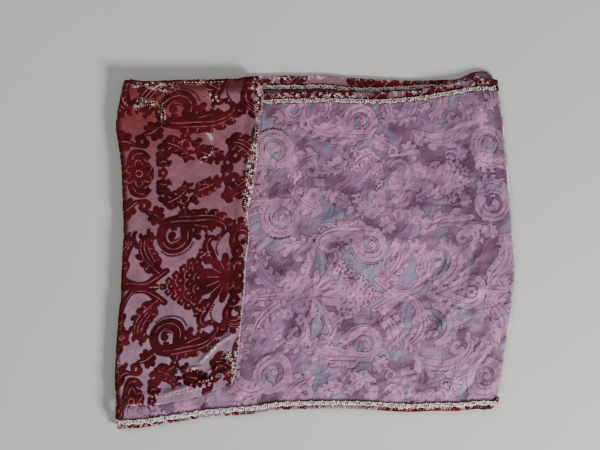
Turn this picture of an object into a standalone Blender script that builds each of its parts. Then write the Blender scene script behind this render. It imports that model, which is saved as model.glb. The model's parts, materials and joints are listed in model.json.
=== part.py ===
# A long burnout-velvet scarf, folded into a flat packet and lying on a table.
#
# X runs along the scarf's length, Y across its width and Z up. The origin is on
# the table, under the middle of the packet. All sizes are in metres.
#
# The scarf is one strip of cloth, pile on one side, with a narrow hem turned all
# round. It lies in four runs. From the top they are: the end flap with its pile
# up, the main panel with its back up, and two hidden runs under the panel. The
# flap and the panel meet in the left fold, and the panel turns under at the right.

import bmesh
import bpy
import numpy as np

# Driving sizes
CLOTH_WALL = 0.0014  # sheer ground with its pile
HEM_WALL = 0.0010  # turned hem, pressed flat
SEAM_GAP = 0.0003  # between neighbouring solids
LOWEST_RUN_TOP = 0.0022  # upper face of the run that lies on the table
HIDDEN_STACK_TOP = 0.0044  # upper face of the two hidden runs
RETURN_RUN = 0.0040  # straight stretch after each fold
FOLD_INSET = 0.0022  # from the outline to where a fold starts to turn
PANEL_AIR = 0.0012  # how far the panel stands off the runs under it
FLAP_AIR = 0.0002  # the same for the flap
FLAT_EDGE = 0.030  # the panel rises to that height this far in from its hems
PANEL_FOLD_SWELL = (0.0008, 0.012)  # extra height at the right fold, and its reach
FLAP_FOLD_SWELL = (0.0012, 0.018)  # the same at the left fold
PANEL_ROLL = (0.0003, 0.021, 0.047, 0.027)  # slow unevenness: height and three lengths
HEM_WIDTH_TOP = 0.0124
HEM_WIDTH_BOTTOM = 0.0085
FLAP_HEM_WIDTH = 0.0090
HEM_BLEND = 0.008  # length over which the cloth comes down beside a hem
FLAP_REACH = 0.007  # the flap clears what lies this far round each point under it

# How finely each piece is divided
PANEL_COLUMNS = 36
PANEL_ROWS = 25
FLAP_COLUMNS = 12
FLAP_ROWS = 25
FOLD_SEGMENTS = 8
EDGE_POINTS_LONG = 34  # round the hidden runs: on each of the hem edges
EDGE_POINTS_SHORT = 24  # and on each of the folded ends

# Outlines, seen from above. Each row is one point: (x, y).
LEFT_FOLD_OUTLINE = [
    (-0.2178, -0.1956), (-0.2162, -0.1692), (-0.2178, -0.1472), (-0.2173, -0.1208),
    (-0.2151, -0.0856), (-0.2118, -0.0504), (-0.2101, -0.0152), (-0.2085, 0.0200),
    (-0.2096, 0.0552), (-0.2107, 0.0904), (-0.2140, 0.1168), (-0.2167, 0.1344),
    (-0.2134, 0.1608), (-0.2096, 0.1740), (-0.2057, 0.1883),
]
RIGHT_FOLD_OUTLINE = [
    (0.2008, -0.1681), (0.2030, -0.1516), (0.2063, -0.1296), (0.2123, -0.0944),
    (0.2173, -0.0504), (0.2195, -0.0130), (0.2162, 0.0288), (0.2129, 0.0728),
    (0.2090, 0.1168), (0.2051, 0.1520), (0.2013, 0.1740), (0.2002, 0.1872),
]
PANEL_TOP_EDGE = [
    (-0.2057, 0.1872), (-0.1700, 0.1848), (-0.1150, 0.1782), (-0.0578, 0.1729),
    (-0.0270, 0.1735), (0.0061, 0.1740), (0.0391, 0.1735), (0.0721, 0.1729),
    (0.0941, 0.1746), (0.1161, 0.1768), (0.1381, 0.1806), (0.1600, 0.1845),
    (0.1821, 0.1878), (0.2002, 0.1872),
]
PANEL_BOTTOM_EDGE = [
    (-0.2178, -0.1956), (-0.1920, -0.1945), (-0.1744, -0.1917), (-0.1568, -0.1890),
    (-0.1216, -0.1835), (-0.0952, -0.1813), (-0.0688, -0.1791), (-0.0424, -0.1752),
    (-0.0160, -0.1741), (0.0281, -0.1736), (0.0633, -0.1747), (0.0985, -0.1769),
    (0.1381, -0.1758), (0.1600, -0.1758), (0.1777, -0.1738), (0.1940, -0.1734),
    (0.2008, -0.1681),
]
HIDDEN_BOTTOM_EDGE = [
    (-0.2178, -0.1936), (-0.1920, -0.1927), (-0.1568, -0.1872), (-0.1216, -0.1817),
    (-0.0952, -0.1795), (-0.0424, -0.1735), (0.0281, -0.1720), (0.0985, -0.1752),
    (0.1600, -0.1742), (0.1777, -0.1722), (0.1900, -0.1720), (0.2008, -0.1722),
]
LOWEST_RUN_TOP_EDGE = [
    (-0.2057, 0.1875), (-0.1832, 0.1850), (-0.1656, 0.1867), (-0.1128, 0.1872),
    (-0.0952, 0.1861), (-0.0776, 0.1900), (-0.0512, 0.1916), (-0.0160, 0.1916),
    (0.0105, 0.1922), (0.0369, 0.1894), (0.0721, 0.1872), (0.1073, 0.1861),
    (0.1337, 0.1867), (0.1600, 0.1894), (0.1689, 0.1933), (0.1799, 0.1960),
    (0.1887, 0.1955), (0.1953, 0.1905), (0.2002, 0.1861),
]
SECOND_RUN_TOP_EDGE = [
    (-0.2057, 0.1862), (-0.1700, 0.1838), (-0.1150, 0.1790), (-0.0578, 0.1746),
    (0.0391, 0.1746), (0.0941, 0.1757), (0.1106, 0.1764), (0.1205, 0.1782),
    (0.1447, 0.1846), (0.1634, 0.1885), (0.1755, 0.1940), (0.1865, 0.1950),
    (0.1930, 0.1915), (0.1997, 0.1862),
]
LOWEST_HEM_INNER_EDGE = [
    (-0.1150, 0.1802), (-0.0860, 0.1782), (-0.0578, 0.1767), (-0.0324, 0.1779),
    (-0.0050, 0.1766), (0.0281, 0.1762), (0.0941, 0.1774), (0.1205, 0.1804),
    (0.1390, 0.1846),
]
FLAP_END_EDGE = [
    (-0.0908, -0.1472), (-0.0853, -0.1296), (-0.0830, -0.1098), (-0.0798, -0.0768),
    (-0.0765, -0.0438), (-0.0743, -0.0064), (-0.0709, 0.0134), (-0.0715, 0.0288),
    (-0.0732, 0.0420), (-0.0693, 0.0596), (-0.0655, 0.0772), (-0.0627, 0.0992),
    (-0.0605, 0.1256), (-0.0578, 0.1520), (-0.0556, 0.1696), (-0.0589, 0.1828),
]
FLAP_BOTTOM_EDGE = [
    (-0.2176, -0.1948), (-0.2150, -0.1935), (-0.2115, -0.1790), (-0.2060, -0.1710),
    (-0.1986, -0.1700),
    (-0.1809, -0.1692), (-0.1678, -0.1686), (-0.1568, -0.1664),
    (-0.1436, -0.1637), (-0.1260, -0.1593), (-0.1084, -0.1527), (-0.0908, -0.1472),
]
FLAP_TOP_EDGE = [
    (-0.2057, 0.1875), (-0.1809, 0.1850), (-0.1479, 0.1867), (-0.1128, 0.1867),
    (-0.0864, 0.1878), (-0.0688, 0.1873), (-0.0589, 0.1828),
]

# Main creases. Each row is one: (from x, from y, to x, to y, height, half width).
# A ridge has a height over 0 and a trough one under 0.
PANEL_CREASES = [
    (-0.0842, -0.0152, -0.0534, 0.0112, 0.0016, 0.0060),
    (0.1216, -0.1043, 0.1546, -0.0570, 0.0016, 0.0090),
    (0.1546, -0.0570, 0.1843, -0.0372, 0.0012, 0.0080),
    (0.0633, -0.0713, 0.0941, -0.0438, -0.0010, 0.0090),
    (0.0941, -0.0438, 0.1359, -0.0130, -0.0012, 0.0090),
    (0.0061, 0.0200, 0.0336, 0.0387, 0.0014, 0.0130),
    (0.1546, -0.1626, 0.1909, -0.1274, -0.0012, 0.0070),
    (-0.0325, 0.1212, 0.0336, 0.1410, -0.0010, 0.0120),
    (0.0666, 0.1091, 0.1381, 0.1023, -0.0008, 0.0080),
    (0.1381, 0.0519, 0.2096, 0.0552, 0.0008, 0.0080),
    (0.1051, -0.1538, 0.1711, -0.1373, 0.0010, 0.0110),
    (-0.0160, 0.0167, 0.0171, 0.0497, -0.0008, 0.0080),
]
FLAP_CREASES = [
    (-0.2030, 0.1835, -0.1300, 0.1835, 0.0012, 0.0060),
    (-0.1975, 0.1608, -0.1612, 0.1619, 0.0018, 0.0080),
    (-0.1667, 0.1640, -0.1634, 0.1380, 0.0012, 0.0060),
    (-0.1568, -0.1593, -0.1205, -0.1472, 0.0012, 0.0060),
    (-0.1205, -0.1472, -0.0908, -0.1175, 0.0014, 0.0070),
    (-0.1260, -0.1318, -0.0886, -0.0878, 0.0014, 0.0080),
    (-0.1100, 0.1780, -0.0700, 0.1650, 0.0010, 0.0080),
]

# Edge of the two hidden runs, from the table up. Each row is one ring: height,
# which run's outline it follows, and how far it is set in where the runs end in
# layers and where they are folded.
HIDDEN_EDGE_RINGS = [
    (0.0000, "lowest", 0.0014, 0.0020),
    (0.0003, "lowest", 0.0005, 0.0012),
    (0.0009, "lowest", 0.0000, 0.0005),
    (0.0016, "lowest", 0.0002, 0.0001),
    (0.0022, "lowest", 0.0010, 0.0000),
    (0.0023, "second", 0.0012, 0.0000),
    (0.0028, "second", 0.0003, 0.0001),
    (0.0034, "second", 0.0000, 0.0005),
    (0.0040, "second", 0.0003, 0.0012),
    (0.0044, "second", 0.0012, 0.0020),
]

VELVET_PILE = ("velvet_pile", (0.085, 0.006, 0.014, 1.0), 0.75)
CLOTH_BACK = ("cloth_back", (0.29, 0.19, 0.26, 1.0), 0.80)
HEM_CLOTH = ("hem_cloth", (0.19, 0.08, 0.11, 1.0), 0.80)


def clear_scene():
    for item in list(bpy.data.objects):
        bpy.data.objects.remove(item)


def cloth_material(finish):
    name, colour, roughness = finish
    material = bpy.data.materials.new(name)
    material.use_nodes = True
    shader = material.node_tree.nodes["Principled BSDF"]
    shader.inputs["Base Color"].default_value = colour
    shader.inputs["Roughness"].default_value = roughness
    shader.inputs["Metallic"].default_value = 0.0
    return material


# Curves and surfaces


def smooth_step(share):
    share = np.clip(share, 0.0, 1.0)
    return share * share * (3.0 - 2.0 * share)


def smooth_through(stations, values, at):
    """A smooth curve through values at rising stations, read at other places."""
    stations, values = np.asarray(stations), np.asarray(values)
    slopes = np.gradient(values, stations)
    k = np.clip(np.searchsorted(stations, at) - 1, 0, len(stations) - 2)
    step = stations[k + 1] - stations[k]
    u = np.clip((at - stations[k]) / step, 0.0, 1.0)
    rise = values[k + 1] - values[k]
    bend = u * (1 - u) * ((1 - u) * (slopes[k] * step - rise) - u * (slopes[k + 1] * step - rise))
    return values[k] + rise * u + bend


def y_along(edge, x):
    """y of a hem edge, which runs along X."""
    table = np.array(edge)
    return smooth_through(table[:, 0], table[:, 1], np.asarray(x, float))


def x_along(edge, y):
    """x of a fold or end edge, which runs along Y."""
    table = np.array(edge)
    return smooth_through(table[:, 1], table[:, 0], np.asarray(y, float))


def crease_height(x, y, creases):
    """Sum of the soft ridges and troughs, each fading towards its ends."""
    total = np.zeros_like(x)
    for x0, y0, x1, y1, height, half_width in creases:
        length_x, length_y = x1 - x0, y1 - y0
        length_squared = length_x**2 + length_y**2
        along = np.clip(((x - x0) * length_x + (y - y0) * length_y) / length_squared, 0.0, 1.0)
        across = np.hypot(x - x0 - along * length_x, y - y0 - along * length_y)
        fade = 0.35 + 0.65 * np.sin(np.pi * along)
        total += height * fade * np.exp(-((across / half_width) ** 2))
    return total


def panel_lift(x, y):
    """How far the panel's lower face stands off the hidden runs."""
    from_top = y_along(PANEL_TOP_EDGE, x) - y
    from_bottom = y - y_along(PANEL_BOTTOM_EDGE, x)
    inward = smooth_step(np.minimum(from_top, from_bottom) / FLAT_EDGE)
    from_right = x_along(RIGHT_FOLD_OUTLINE, y) - x
    swell, swell_reach = PANEL_FOLD_SWELL
    fold_swell = swell * np.exp(-np.maximum(from_right, 0.0) / swell_reach)
    roll, length, slow_length, width = PANEL_ROLL
    rolling = roll * np.sin(x / length + 2.0 * np.sin(y / slow_length)) * np.sin(y / width + 1.3)
    lift = inward * (PANEL_AIR + crease_height(x, y, PANEL_CREASES) + rolling) + fold_swell
    return np.maximum(lift, 0.0)


def panel_middle(x, y):
    """Height of the middle of the panel's wall."""
    return HIDDEN_STACK_TOP + SEAM_GAP + CLOTH_WALL / 2 + panel_lift(x, y)


def flap_support(x, y):
    """Upper face of whatever is under the flap, the panel's turned hem included."""
    panel = panel_middle(x, y) + CLOTH_WALL / 2
    hem_line = y_along(PANEL_TOP_EDGE, x)
    on_hem = smooth_step((y - hem_line + HEM_WIDTH_TOP) / HEM_BLEND + 1.5)
    high = panel + on_hem * (SEAM_GAP + HEM_WALL)
    low = LOWEST_RUN_TOP + SEAM_GAP + HEM_WALL
    past_panel = smooth_step((y - hem_line) / HEM_BLEND - 0.4)
    return high + (low - high) * past_panel


def flap_middle(x, y):
    """Height of the middle of the flap's wall, clear of what is under it."""
    reach = FLAP_REACH
    support = flap_support(x, y)
    for step_x, step_y in ((reach, 0), (-reach, 0), (0, -reach), (reach, -reach), (-reach, -reach)):
        support = np.maximum(support, flap_support(x + step_x, y + step_y))
    from_end = x_along(FLAP_END_EDGE, y) - x
    from_bottom = y - y_along(FLAP_BOTTOM_EDGE, x)
    from_top = y_along(FLAP_TOP_EDGE, x) - y
    nearest = np.minimum(np.minimum(from_end, from_top), from_bottom)
    over_hem = (SEAM_GAP + HEM_WALL) * (1 - smooth_step((nearest - FLAP_HEM_WIDTH) / HEM_BLEND))
    from_fold = np.maximum(x - x_along(LEFT_FOLD_OUTLINE, y), 0.0)
    swell, swell_reach = FLAP_FOLD_SWELL
    fold_swell = swell * np.exp(-from_fold / swell_reach)
    ridges = np.maximum(crease_height(x, y, FLAP_CREASES), 0.0)
    lift = SEAM_GAP + FLAP_AIR + over_hem + fold_swell + ridges
    return support + lift + CLOTH_WALL / 2


def patch(bottom, top, left, right, along, across):
    """Points of a four-sided patch, spread evenly between its edges (rows by columns by x, y).

    bottom and top are functions of along, and left and right of across, each from 0 to 1."""
    s, t = np.meshgrid(along, across)
    s, t = s[..., None], t[..., None]
    low, high = bottom(along)[None], top(along)[None]
    first, last = left(across)[:, None], right(across)[:, None]
    corner = {(a, b): (bottom if b == 0 else top)(np.array([a], float))[0] for a in (0, 1) for b in (0, 1)}
    straight = (
        (1 - s) * (1 - t) * corner[0, 0]
        + s * (1 - t) * corner[1, 0]
        + (1 - s) * t * corner[0, 1]
        + s * t * corner[1, 1]
    )
    return (1 - t) * low + t * high + (1 - s) * first + s * last - straight


def hem_edge(edge, start, end):
    """A hem edge between two x, as a function of the share along it."""

    def points(share):
        x = start + (end - start) * share
        return np.stack([x, y_along(edge, x)], axis=-1)

    return points


def side_edge(edge, start, end, inset=0.0):
    """A fold or end edge between two y, moved in by inset, as a function of the share along it."""

    def points(share):
        y = start + (end - start) * share
        return np.stack([x_along(edge, y) + inset, y], axis=-1)

    return points


def fold_over(run, side, return_height):
    """Adds a half-round fold and a short return under the end of a run of cloth.

    run is rows by columns by x, y, z, with its last column at the fold. side is 1
    where the fold is at the right and -1 at the left."""
    start = run[:, -1]
    radius = (start[:, 2] - return_height) / 2
    columns = [run]
    for k in range(1, FOLD_SEGMENTS + 1):
        angle = np.pi * k / FOLD_SEGMENTS
        column = start.copy()
        column[:, 0] += side * radius * np.sin(angle)
        column[:, 2] -= radius * (1 - np.cos(angle))
        columns.append(column[:, None])
    back = columns[-1].copy()
    back[..., 0] -= side * RETURN_RUN
    columns.append(back)
    return np.concatenate(columns, axis=1)


def back_normals(points):
    """Unit normals of a sheet's points, out of the cloth's wrong side."""
    along = np.gradient(points, axis=1)
    across = np.gradient(points, axis=0)
    normal = np.cross(along, across)
    return normal / np.linalg.norm(normal, axis=-1, keepdims=True)


# The sheets of cloth, as grids of points through the middle of their walls


def stations_with_hems(rows, first_hem, last_hem):
    """Shares across the cloth, with rows of their own for a hem at each edge."""
    inner = np.linspace(first_hem, 1 - last_hem, rows - 2)
    return np.concatenate([[0.0, first_hem / 2], inner, [1 - last_hem / 2, 1.0]])


def panel_points():
    left = FOLD_INSET + RETURN_RUN + SEAM_GAP
    bottom_left, bottom_right = LEFT_FOLD_OUTLINE[0], RIGHT_FOLD_OUTLINE[0]
    top_left, top_right = LEFT_FOLD_OUTLINE[-1], RIGHT_FOLD_OUTLINE[-1]
    corner_y = {
        "bottom_left": float(y_along(PANEL_BOTTOM_EDGE, bottom_left[0] + left)),
        "top_left": float(y_along(PANEL_TOP_EDGE, top_left[0] + left)),
        "bottom_right": float(y_along(PANEL_BOTTOM_EDGE, bottom_right[0] - FOLD_INSET)),
        "top_right": float(y_along(PANEL_TOP_EDGE, top_right[0] - FOLD_INSET)),
    }
    width = corner_y["top_left"] - corner_y["bottom_left"]
    across = stations_with_hems(PANEL_ROWS, HEM_WIDTH_BOTTOM / width, HEM_WIDTH_TOP / width)
    flat = patch(
        hem_edge(PANEL_BOTTOM_EDGE, bottom_left[0] + left, bottom_right[0] - FOLD_INSET),
        hem_edge(PANEL_TOP_EDGE, top_left[0] + left, top_right[0] - FOLD_INSET),
        side_edge(LEFT_FOLD_OUTLINE, corner_y["bottom_left"], corner_y["top_left"], left),
        side_edge(RIGHT_FOLD_OUTLINE, corner_y["bottom_right"], corner_y["top_right"], -FOLD_INSET),
        np.linspace(0, 1, PANEL_COLUMNS + 1),
        across,
    )
    height = panel_middle(flat[..., 0], flat[..., 1])
    run = np.concatenate([flat, height[..., None]], axis=-1)
    return fold_over(run, 1, LOWEST_RUN_TOP + SEAM_GAP + CLOTH_WALL / 2)


def flap_points():
    """The flap from its free end to the left fold, so that the fold comes last."""
    bottom_left, top_left = FLAP_BOTTOM_EDGE[0], FLAP_TOP_EDGE[0]
    bottom_end, top_end = FLAP_END_EDGE[0], FLAP_END_EDGE[-1]
    fold_bottom = float(y_along(FLAP_BOTTOM_EDGE, bottom_left[0] + FOLD_INSET))
    fold_top = float(y_along(FLAP_TOP_EDGE, top_left[0] + FOLD_INSET))
    width = top_end[1] - bottom_end[1]
    hem = FLAP_HEM_WIDTH / width
    across = stations_with_hems(FLAP_ROWS, hem, hem)
    end_hem = FLAP_HEM_WIDTH / (bottom_end[0] - bottom_left[0])
    along = np.concatenate([[0.0, end_hem / 2], np.linspace(end_hem, 0.9, FLAP_COLUMNS - 4), [0.94, 0.975, 1.0]])
    flat = patch(
        hem_edge(FLAP_BOTTOM_EDGE, bottom_end[0], bottom_left[0] + FOLD_INSET),
        hem_edge(FLAP_TOP_EDGE, top_end[0], top_left[0] + FOLD_INSET),
        side_edge(FLAP_END_EDGE, bottom_end[1], top_end[1]),
        side_edge(LEFT_FOLD_OUTLINE, fold_bottom, fold_top, FOLD_INSET),
        along,
        across,
    )
    height = flap_middle(flat[..., 0], flat[..., 1])
    run = np.concatenate([flat, height[..., None]], axis=-1)
    return fold_over(run, -1, HIDDEN_STACK_TOP + SEAM_GAP + CLOTH_WALL / 2)


# Objects


def add_object(name, mesh, finish, collection):
    item = bpy.data.objects.new(name, mesh)
    item.data.materials.append(cloth_material(finish))
    collection.objects.link(item)
    mesh.shade_smooth()
    return item


def cloth_wall(name, points, wall, finish, collection):
    """A grid of points through the middle of a wall, made an even shell."""
    rows, columns = points.shape[:2]
    grid = bmesh.new()
    bmesh.ops.create_grid(grid, x_segments=columns - 1, y_segments=rows - 1, size=0.5)
    for vertex in grid.verts:
        column = round((vertex.co.x + 0.5) * (columns - 1))
        row = round((vertex.co.y + 0.5) * (rows - 1))
        vertex.co = points[row, column]
    mesh = bpy.data.meshes.new(name)
    grid.to_mesh(mesh)
    grid.free()
    item = add_object(name, mesh, finish, collection)
    shell = item.modifiers.new("wall", "SOLIDIFY")
    shell.thickness = wall
    shell.offset = 0.0
    return item


def turned_hem(name, points, rows, columns, collection):
    """A hem allowance: some rows and columns of a sheet's points, moved out of its wrong side."""
    out = CLOTH_WALL / 2 + SEAM_GAP + HEM_WALL / 2
    moved = points + out * back_normals(points)
    strip = moved[rows, columns].copy()
    return cloth_wall(name, strip, HEM_WALL, HEM_CLOTH, collection)


def panel_hems(points, collection):
    """The panel's long hems, turned up onto its wrong side and round half of the right fold."""
    to_fold = slice(0, PANEL_COLUMNS + 1 + FOLD_SEGMENTS // 2)
    turned_hem("panel_bottom_hem", points, slice(0, 3), to_fold, collection)
    turned_hem("panel_top_hem", points, slice(-3, None), to_fold, collection)


def flap_hems(points, collection):
    """The flap's hems, turned under it. The two long ones stop at the end hem and near the fold."""
    clear_of_end_hem = points.copy()
    past_end_hem = points[:, 3] - points[:, 2]
    past_end_hem /= np.linalg.norm(past_end_hem, axis=-1, keepdims=True)
    clear_of_end_hem[:, 2] += SEAM_GAP * past_end_hem
    to_fold = slice(2, FLAP_COLUMNS - 1)
    turned_hem("flap_end_hem", points, slice(None), slice(0, 3), collection)
    turned_hem("flap_bottom_hem", clear_of_end_hem, slice(0, 3), to_fold, collection)
    turned_hem("flap_top_hem", clear_of_end_hem, slice(-3, None), to_fold, collection)


def closer_at_ends(count):
    """Shares from 0 up to 1, one column, about half as far apart at both ends."""
    even = np.linspace(0, 1, count, endpoint=False)
    eased = (1 - np.cos(np.pi * even)) / 2
    return ((even + eased) / 2)[:, None]


def closed_outline(top_edge, right_inset):
    """The outline of a hidden run, counter-clockwise from its bottom left, corners rounded."""
    inset = 0.0026  # hidden runs end just inside the folds above them
    left_low, left_high = LEFT_FOLD_OUTLINE[0], LEFT_FOLD_OUTLINE[-1]
    right_low, right_high = RIGHT_FOLD_OUTLINE[0], RIGHT_FOLD_OUTLINE[-1]
    long_share = closer_at_ends(EDGE_POINTS_LONG)
    short_share = closer_at_ends(EDGE_POINTS_SHORT)
    bottom_x = left_low[0] + inset + (right_low[0] - right_inset - left_low[0] - inset) * long_share
    bottom = np.hstack([bottom_x, y_along(HIDDEN_BOTTOM_EDGE, bottom_x)])
    top_x = right_high[0] - right_inset + (left_high[0] + inset - right_high[0] + right_inset) * long_share
    top = np.hstack([top_x, y_along(top_edge, top_x)])
    right_y = bottom[-1, 1] + (top[0, 1] - bottom[-1, 1]) * short_share
    right = np.hstack([x_along(RIGHT_FOLD_OUTLINE, right_y) - right_inset, right_y])
    left_y = top[-1, 1] + (bottom[0, 1] - top[-1, 1]) * short_share
    left = np.hstack([x_along(LEFT_FOLD_OUTLINE, left_y) + inset, left_y])
    loop = np.concatenate([bottom, right, top, left])
    return (np.roll(loop, 1, axis=0) + 2 * loop + np.roll(loop, -1, axis=0)) / 4


def inward_normals(loop):
    ahead = np.roll(loop, -1, axis=0) - np.roll(loop, 1, axis=0)
    normal = np.stack([-ahead[:, 1], ahead[:, 0]], axis=1)
    return normal / np.linalg.norm(normal, axis=1, keepdims=True)


def folded_layers(collection):
    """The two hidden runs as one solid: layered at its hem edges and right end, folded at its left."""
    outlines = {
        "lowest": closed_outline(LOWEST_RUN_TOP_EDGE, 0.0030),
        "second": closed_outline(SECOND_RUN_TOP_EDGE, FOLD_INSET + RETURN_RUN + SEAM_GAP),
    }
    count = len(outlines["lowest"])
    folded = np.zeros(count)
    folded[count - EDGE_POINTS_SHORT :] = 1.0
    folded = (np.roll(folded, 1) + folded + np.roll(folded, -1)) / 3
    shape = bmesh.new()
    loops = []
    for height, run, layered_inset, folded_inset in HIDDEN_EDGE_RINGS:
        outline = outlines[run]
        inset = layered_inset + (folded_inset - layered_inset) * folded
        ring = outline + inset[:, None] * inward_normals(outline)
        verts = [shape.verts.new((x, y, height)) for x, y in ring]
        loops.append([shape.edges.new((verts[k], verts[(k + 1) % count])) for k in range(count)])
    for lower, upper in zip(loops, loops[1:], strict=False):
        bmesh.ops.bridge_loops(shape, edges=lower + upper)
    bmesh.ops.contextual_create(shape, geom=loops[0])
    bmesh.ops.contextual_create(shape, geom=loops[-1])
    bmesh.ops.recalc_face_normals(shape, faces=shape.faces[:])
    mesh = bpy.data.meshes.new("folded_layers")
    shape.to_mesh(mesh)
    shape.free()
    return add_object("folded_layers", mesh, VELVET_PILE, collection)


def lowest_run_hem(collection):
    """The turned hem of the lowest run, which shows past the panel's top edge."""
    start, end = LOWEST_HEM_INNER_EDGE[0][0], LOWEST_HEM_INNER_EDGE[-1][0]
    x = np.linspace(start, end, PANEL_COLUMNS)
    outer = y_along(LOWEST_RUN_TOP_EDGE, x) - 0.0004
    inner = y_along(LOWEST_HEM_INNER_EDGE, x)
    share = np.linspace(0, 1, 3)[:, None]
    y = inner + (outer - inner) * share
    middle = LOWEST_RUN_TOP + SEAM_GAP + HEM_WALL / 2
    points = np.stack([np.broadcast_to(x, y.shape), y, np.full(y.shape, middle)], axis=-1)
    return cloth_wall("lowest_run_hem", points, HEM_WALL, HEM_CLOTH, collection)


def build_scarf():
    clear_scene()
    scarf = bpy.data.collections.new("folded_scarf")
    bpy.context.scene.collection.children.link(scarf)
    panel = panel_points()
    flap = flap_points()
    folded_layers(scarf)
    cloth_wall("main_panel", panel, CLOTH_WALL, CLOTH_BACK, scarf)
    cloth_wall("end_flap", flap, CLOTH_WALL, VELVET_PILE, scarf)
    panel_hems(panel, scarf)
    lowest_run_hem(scarf)
    flap_hems(flap, scarf)


build_scarf()
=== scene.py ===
import json

import bmesh
import bpy
import numpy as np
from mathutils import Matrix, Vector

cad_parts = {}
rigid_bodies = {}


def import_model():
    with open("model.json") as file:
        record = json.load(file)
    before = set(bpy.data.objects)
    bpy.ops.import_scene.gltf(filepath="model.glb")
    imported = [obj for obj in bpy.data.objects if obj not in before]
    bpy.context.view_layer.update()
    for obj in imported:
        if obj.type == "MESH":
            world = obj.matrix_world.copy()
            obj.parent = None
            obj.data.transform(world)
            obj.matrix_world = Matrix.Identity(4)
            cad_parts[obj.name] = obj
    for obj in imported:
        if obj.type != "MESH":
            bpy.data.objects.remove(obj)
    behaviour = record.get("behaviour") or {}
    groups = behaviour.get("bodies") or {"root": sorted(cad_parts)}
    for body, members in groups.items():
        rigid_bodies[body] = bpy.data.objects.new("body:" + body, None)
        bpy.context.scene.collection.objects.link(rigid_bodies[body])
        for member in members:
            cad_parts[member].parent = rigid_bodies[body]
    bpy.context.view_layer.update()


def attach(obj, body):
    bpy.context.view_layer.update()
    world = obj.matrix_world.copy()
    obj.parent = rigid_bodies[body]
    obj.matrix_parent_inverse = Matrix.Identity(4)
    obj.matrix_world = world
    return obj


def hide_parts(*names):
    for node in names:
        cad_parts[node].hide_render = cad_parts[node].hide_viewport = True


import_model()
mm = 0.001

# The scarf lies folded in four runs. From the top: the end flap, pile up; the main panel, back up;
# then two lower runs. x is along the scarf and y across it. u is the length along each run, v across.
cloth = {
    "width": 0.350,
    "flapRun": 0.137,  # lengths of the runs, to their folds
    "panelRun": 0.420,
    "panelFoldInset": 0.0022,  # from the outline to where a fold starts to turn
    "returnRun": 0.0040,
    "wall": 0.0014,  # the solids' walls, whose middles the shells follow
    "hemWall": 0.0010,
    "gap": 0.0003,
    "lowestTop": 0.0022,
    "stackTop": 0.0044,
    "shell": 0.0010,
    "hemShell": 0.0005,
    "hemReach": 0.0012,  # from a sheet's middle to the middle of its turned hem
    "hemFlush": 0.0002,  # and to the part of the hem that meets its face
}

# outlines from above, in metres
leftFold = [
    (-0.2178, -0.1956), (-0.2162, -0.1692), (-0.2178, -0.1472), (-0.2173, -0.1208), (-0.2151, -0.0856),
    (-0.2118, -0.0504), (-0.2101, -0.0152), (-0.2085, 0.0200), (-0.2096, 0.0552), (-0.2107, 0.0904),
    (-0.2140, 0.1168), (-0.2167, 0.1344), (-0.2134, 0.1608), (-0.2096, 0.1740), (-0.2057, 0.1883),
]
rightFold = [
    (0.2008, -0.1681), (0.2030, -0.1516), (0.2063, -0.1296), (0.2123, -0.0944), (0.2173, -0.0504),
    (0.2195, -0.0130), (0.2162, 0.0288), (0.2129, 0.0728), (0.2090, 0.1168), (0.2051, 0.1520),
    (0.2013, 0.1740), (0.2002, 0.1872),
]
panelTop = [
    (-0.2057, 0.1872), (-0.1700, 0.1848), (-0.1150, 0.1782), (-0.0578, 0.1729), (-0.0270, 0.1735),
    (0.0061, 0.1740), (0.0391, 0.1735), (0.0721, 0.1729), (0.0941, 0.1746), (0.1161, 0.1768),
    (0.1381, 0.1806), (0.1600, 0.1845), (0.1821, 0.1878), (0.2002, 0.1872),
]
panelBottom = [
    (-0.2178, -0.1956), (-0.1920, -0.1945), (-0.1744, -0.1917), (-0.1568, -0.1890), (-0.1216, -0.1835),
    (-0.0952, -0.1813), (-0.0688, -0.1791), (-0.0424, -0.1752), (-0.0160, -0.1741), (0.0281, -0.1736),
    (0.0633, -0.1747), (0.0985, -0.1769), (0.1381, -0.1758), (0.1600, -0.1758), (0.1777, -0.1738),
    (0.1940, -0.1734), (0.2008, -0.1681),
]
lowerBottom = [
    (-0.2178, -0.1936), (-0.1920, -0.1927), (-0.1568, -0.1872), (-0.1216, -0.1817), (-0.0952, -0.1795),
    (-0.0424, -0.1735), (0.0281, -0.1720), (0.0985, -0.1752), (0.1600, -0.1742), (0.1777, -0.1722),
    (0.1900, -0.1720), (0.2008, -0.1722),
]
lowestTop = [
    (-0.2057, 0.1875), (-0.1832, 0.1850), (-0.1656, 0.1867), (-0.1128, 0.1872), (-0.0952, 0.1861),
    (-0.0776, 0.1900), (-0.0512, 0.1916), (-0.0160, 0.1916), (0.0105, 0.1922), (0.0369, 0.1894),
    (0.0721, 0.1872), (0.1073, 0.1861), (0.1337, 0.1867), (0.1600, 0.1894), (0.1689, 0.1933),
    (0.1799, 0.1960), (0.1887, 0.1955), (0.1953, 0.1905), (0.2002, 0.1861),
]
secondTop = [
    (-0.2057, 0.1862), (-0.1700, 0.1838), (-0.1150, 0.1790), (-0.0578, 0.1755), (0.0391, 0.1754),
    (0.0941, 0.1762), (0.1106, 0.1769), (0.1205, 0.1785), (0.1447, 0.1846), (0.1634, 0.1885),
    (0.1755, 0.1940), (0.1865, 0.1950), (0.1930, 0.1915), (0.1997, 0.1862),
]
flapEnd = [
    (-0.0908, -0.1472), (-0.0853, -0.1296), (-0.0830, -0.1098), (-0.0798, -0.0768), (-0.0765, -0.0438),
    (-0.0743, -0.0064), (-0.0709, 0.0134), (-0.0715, 0.0288), (-0.0732, 0.0420), (-0.0693, 0.0596),
    (-0.0655, 0.0772), (-0.0627, 0.0992), (-0.0605, 0.1256), (-0.0578, 0.1520), (-0.0556, 0.1696),
    (-0.0589, 0.1828),
]
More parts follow.
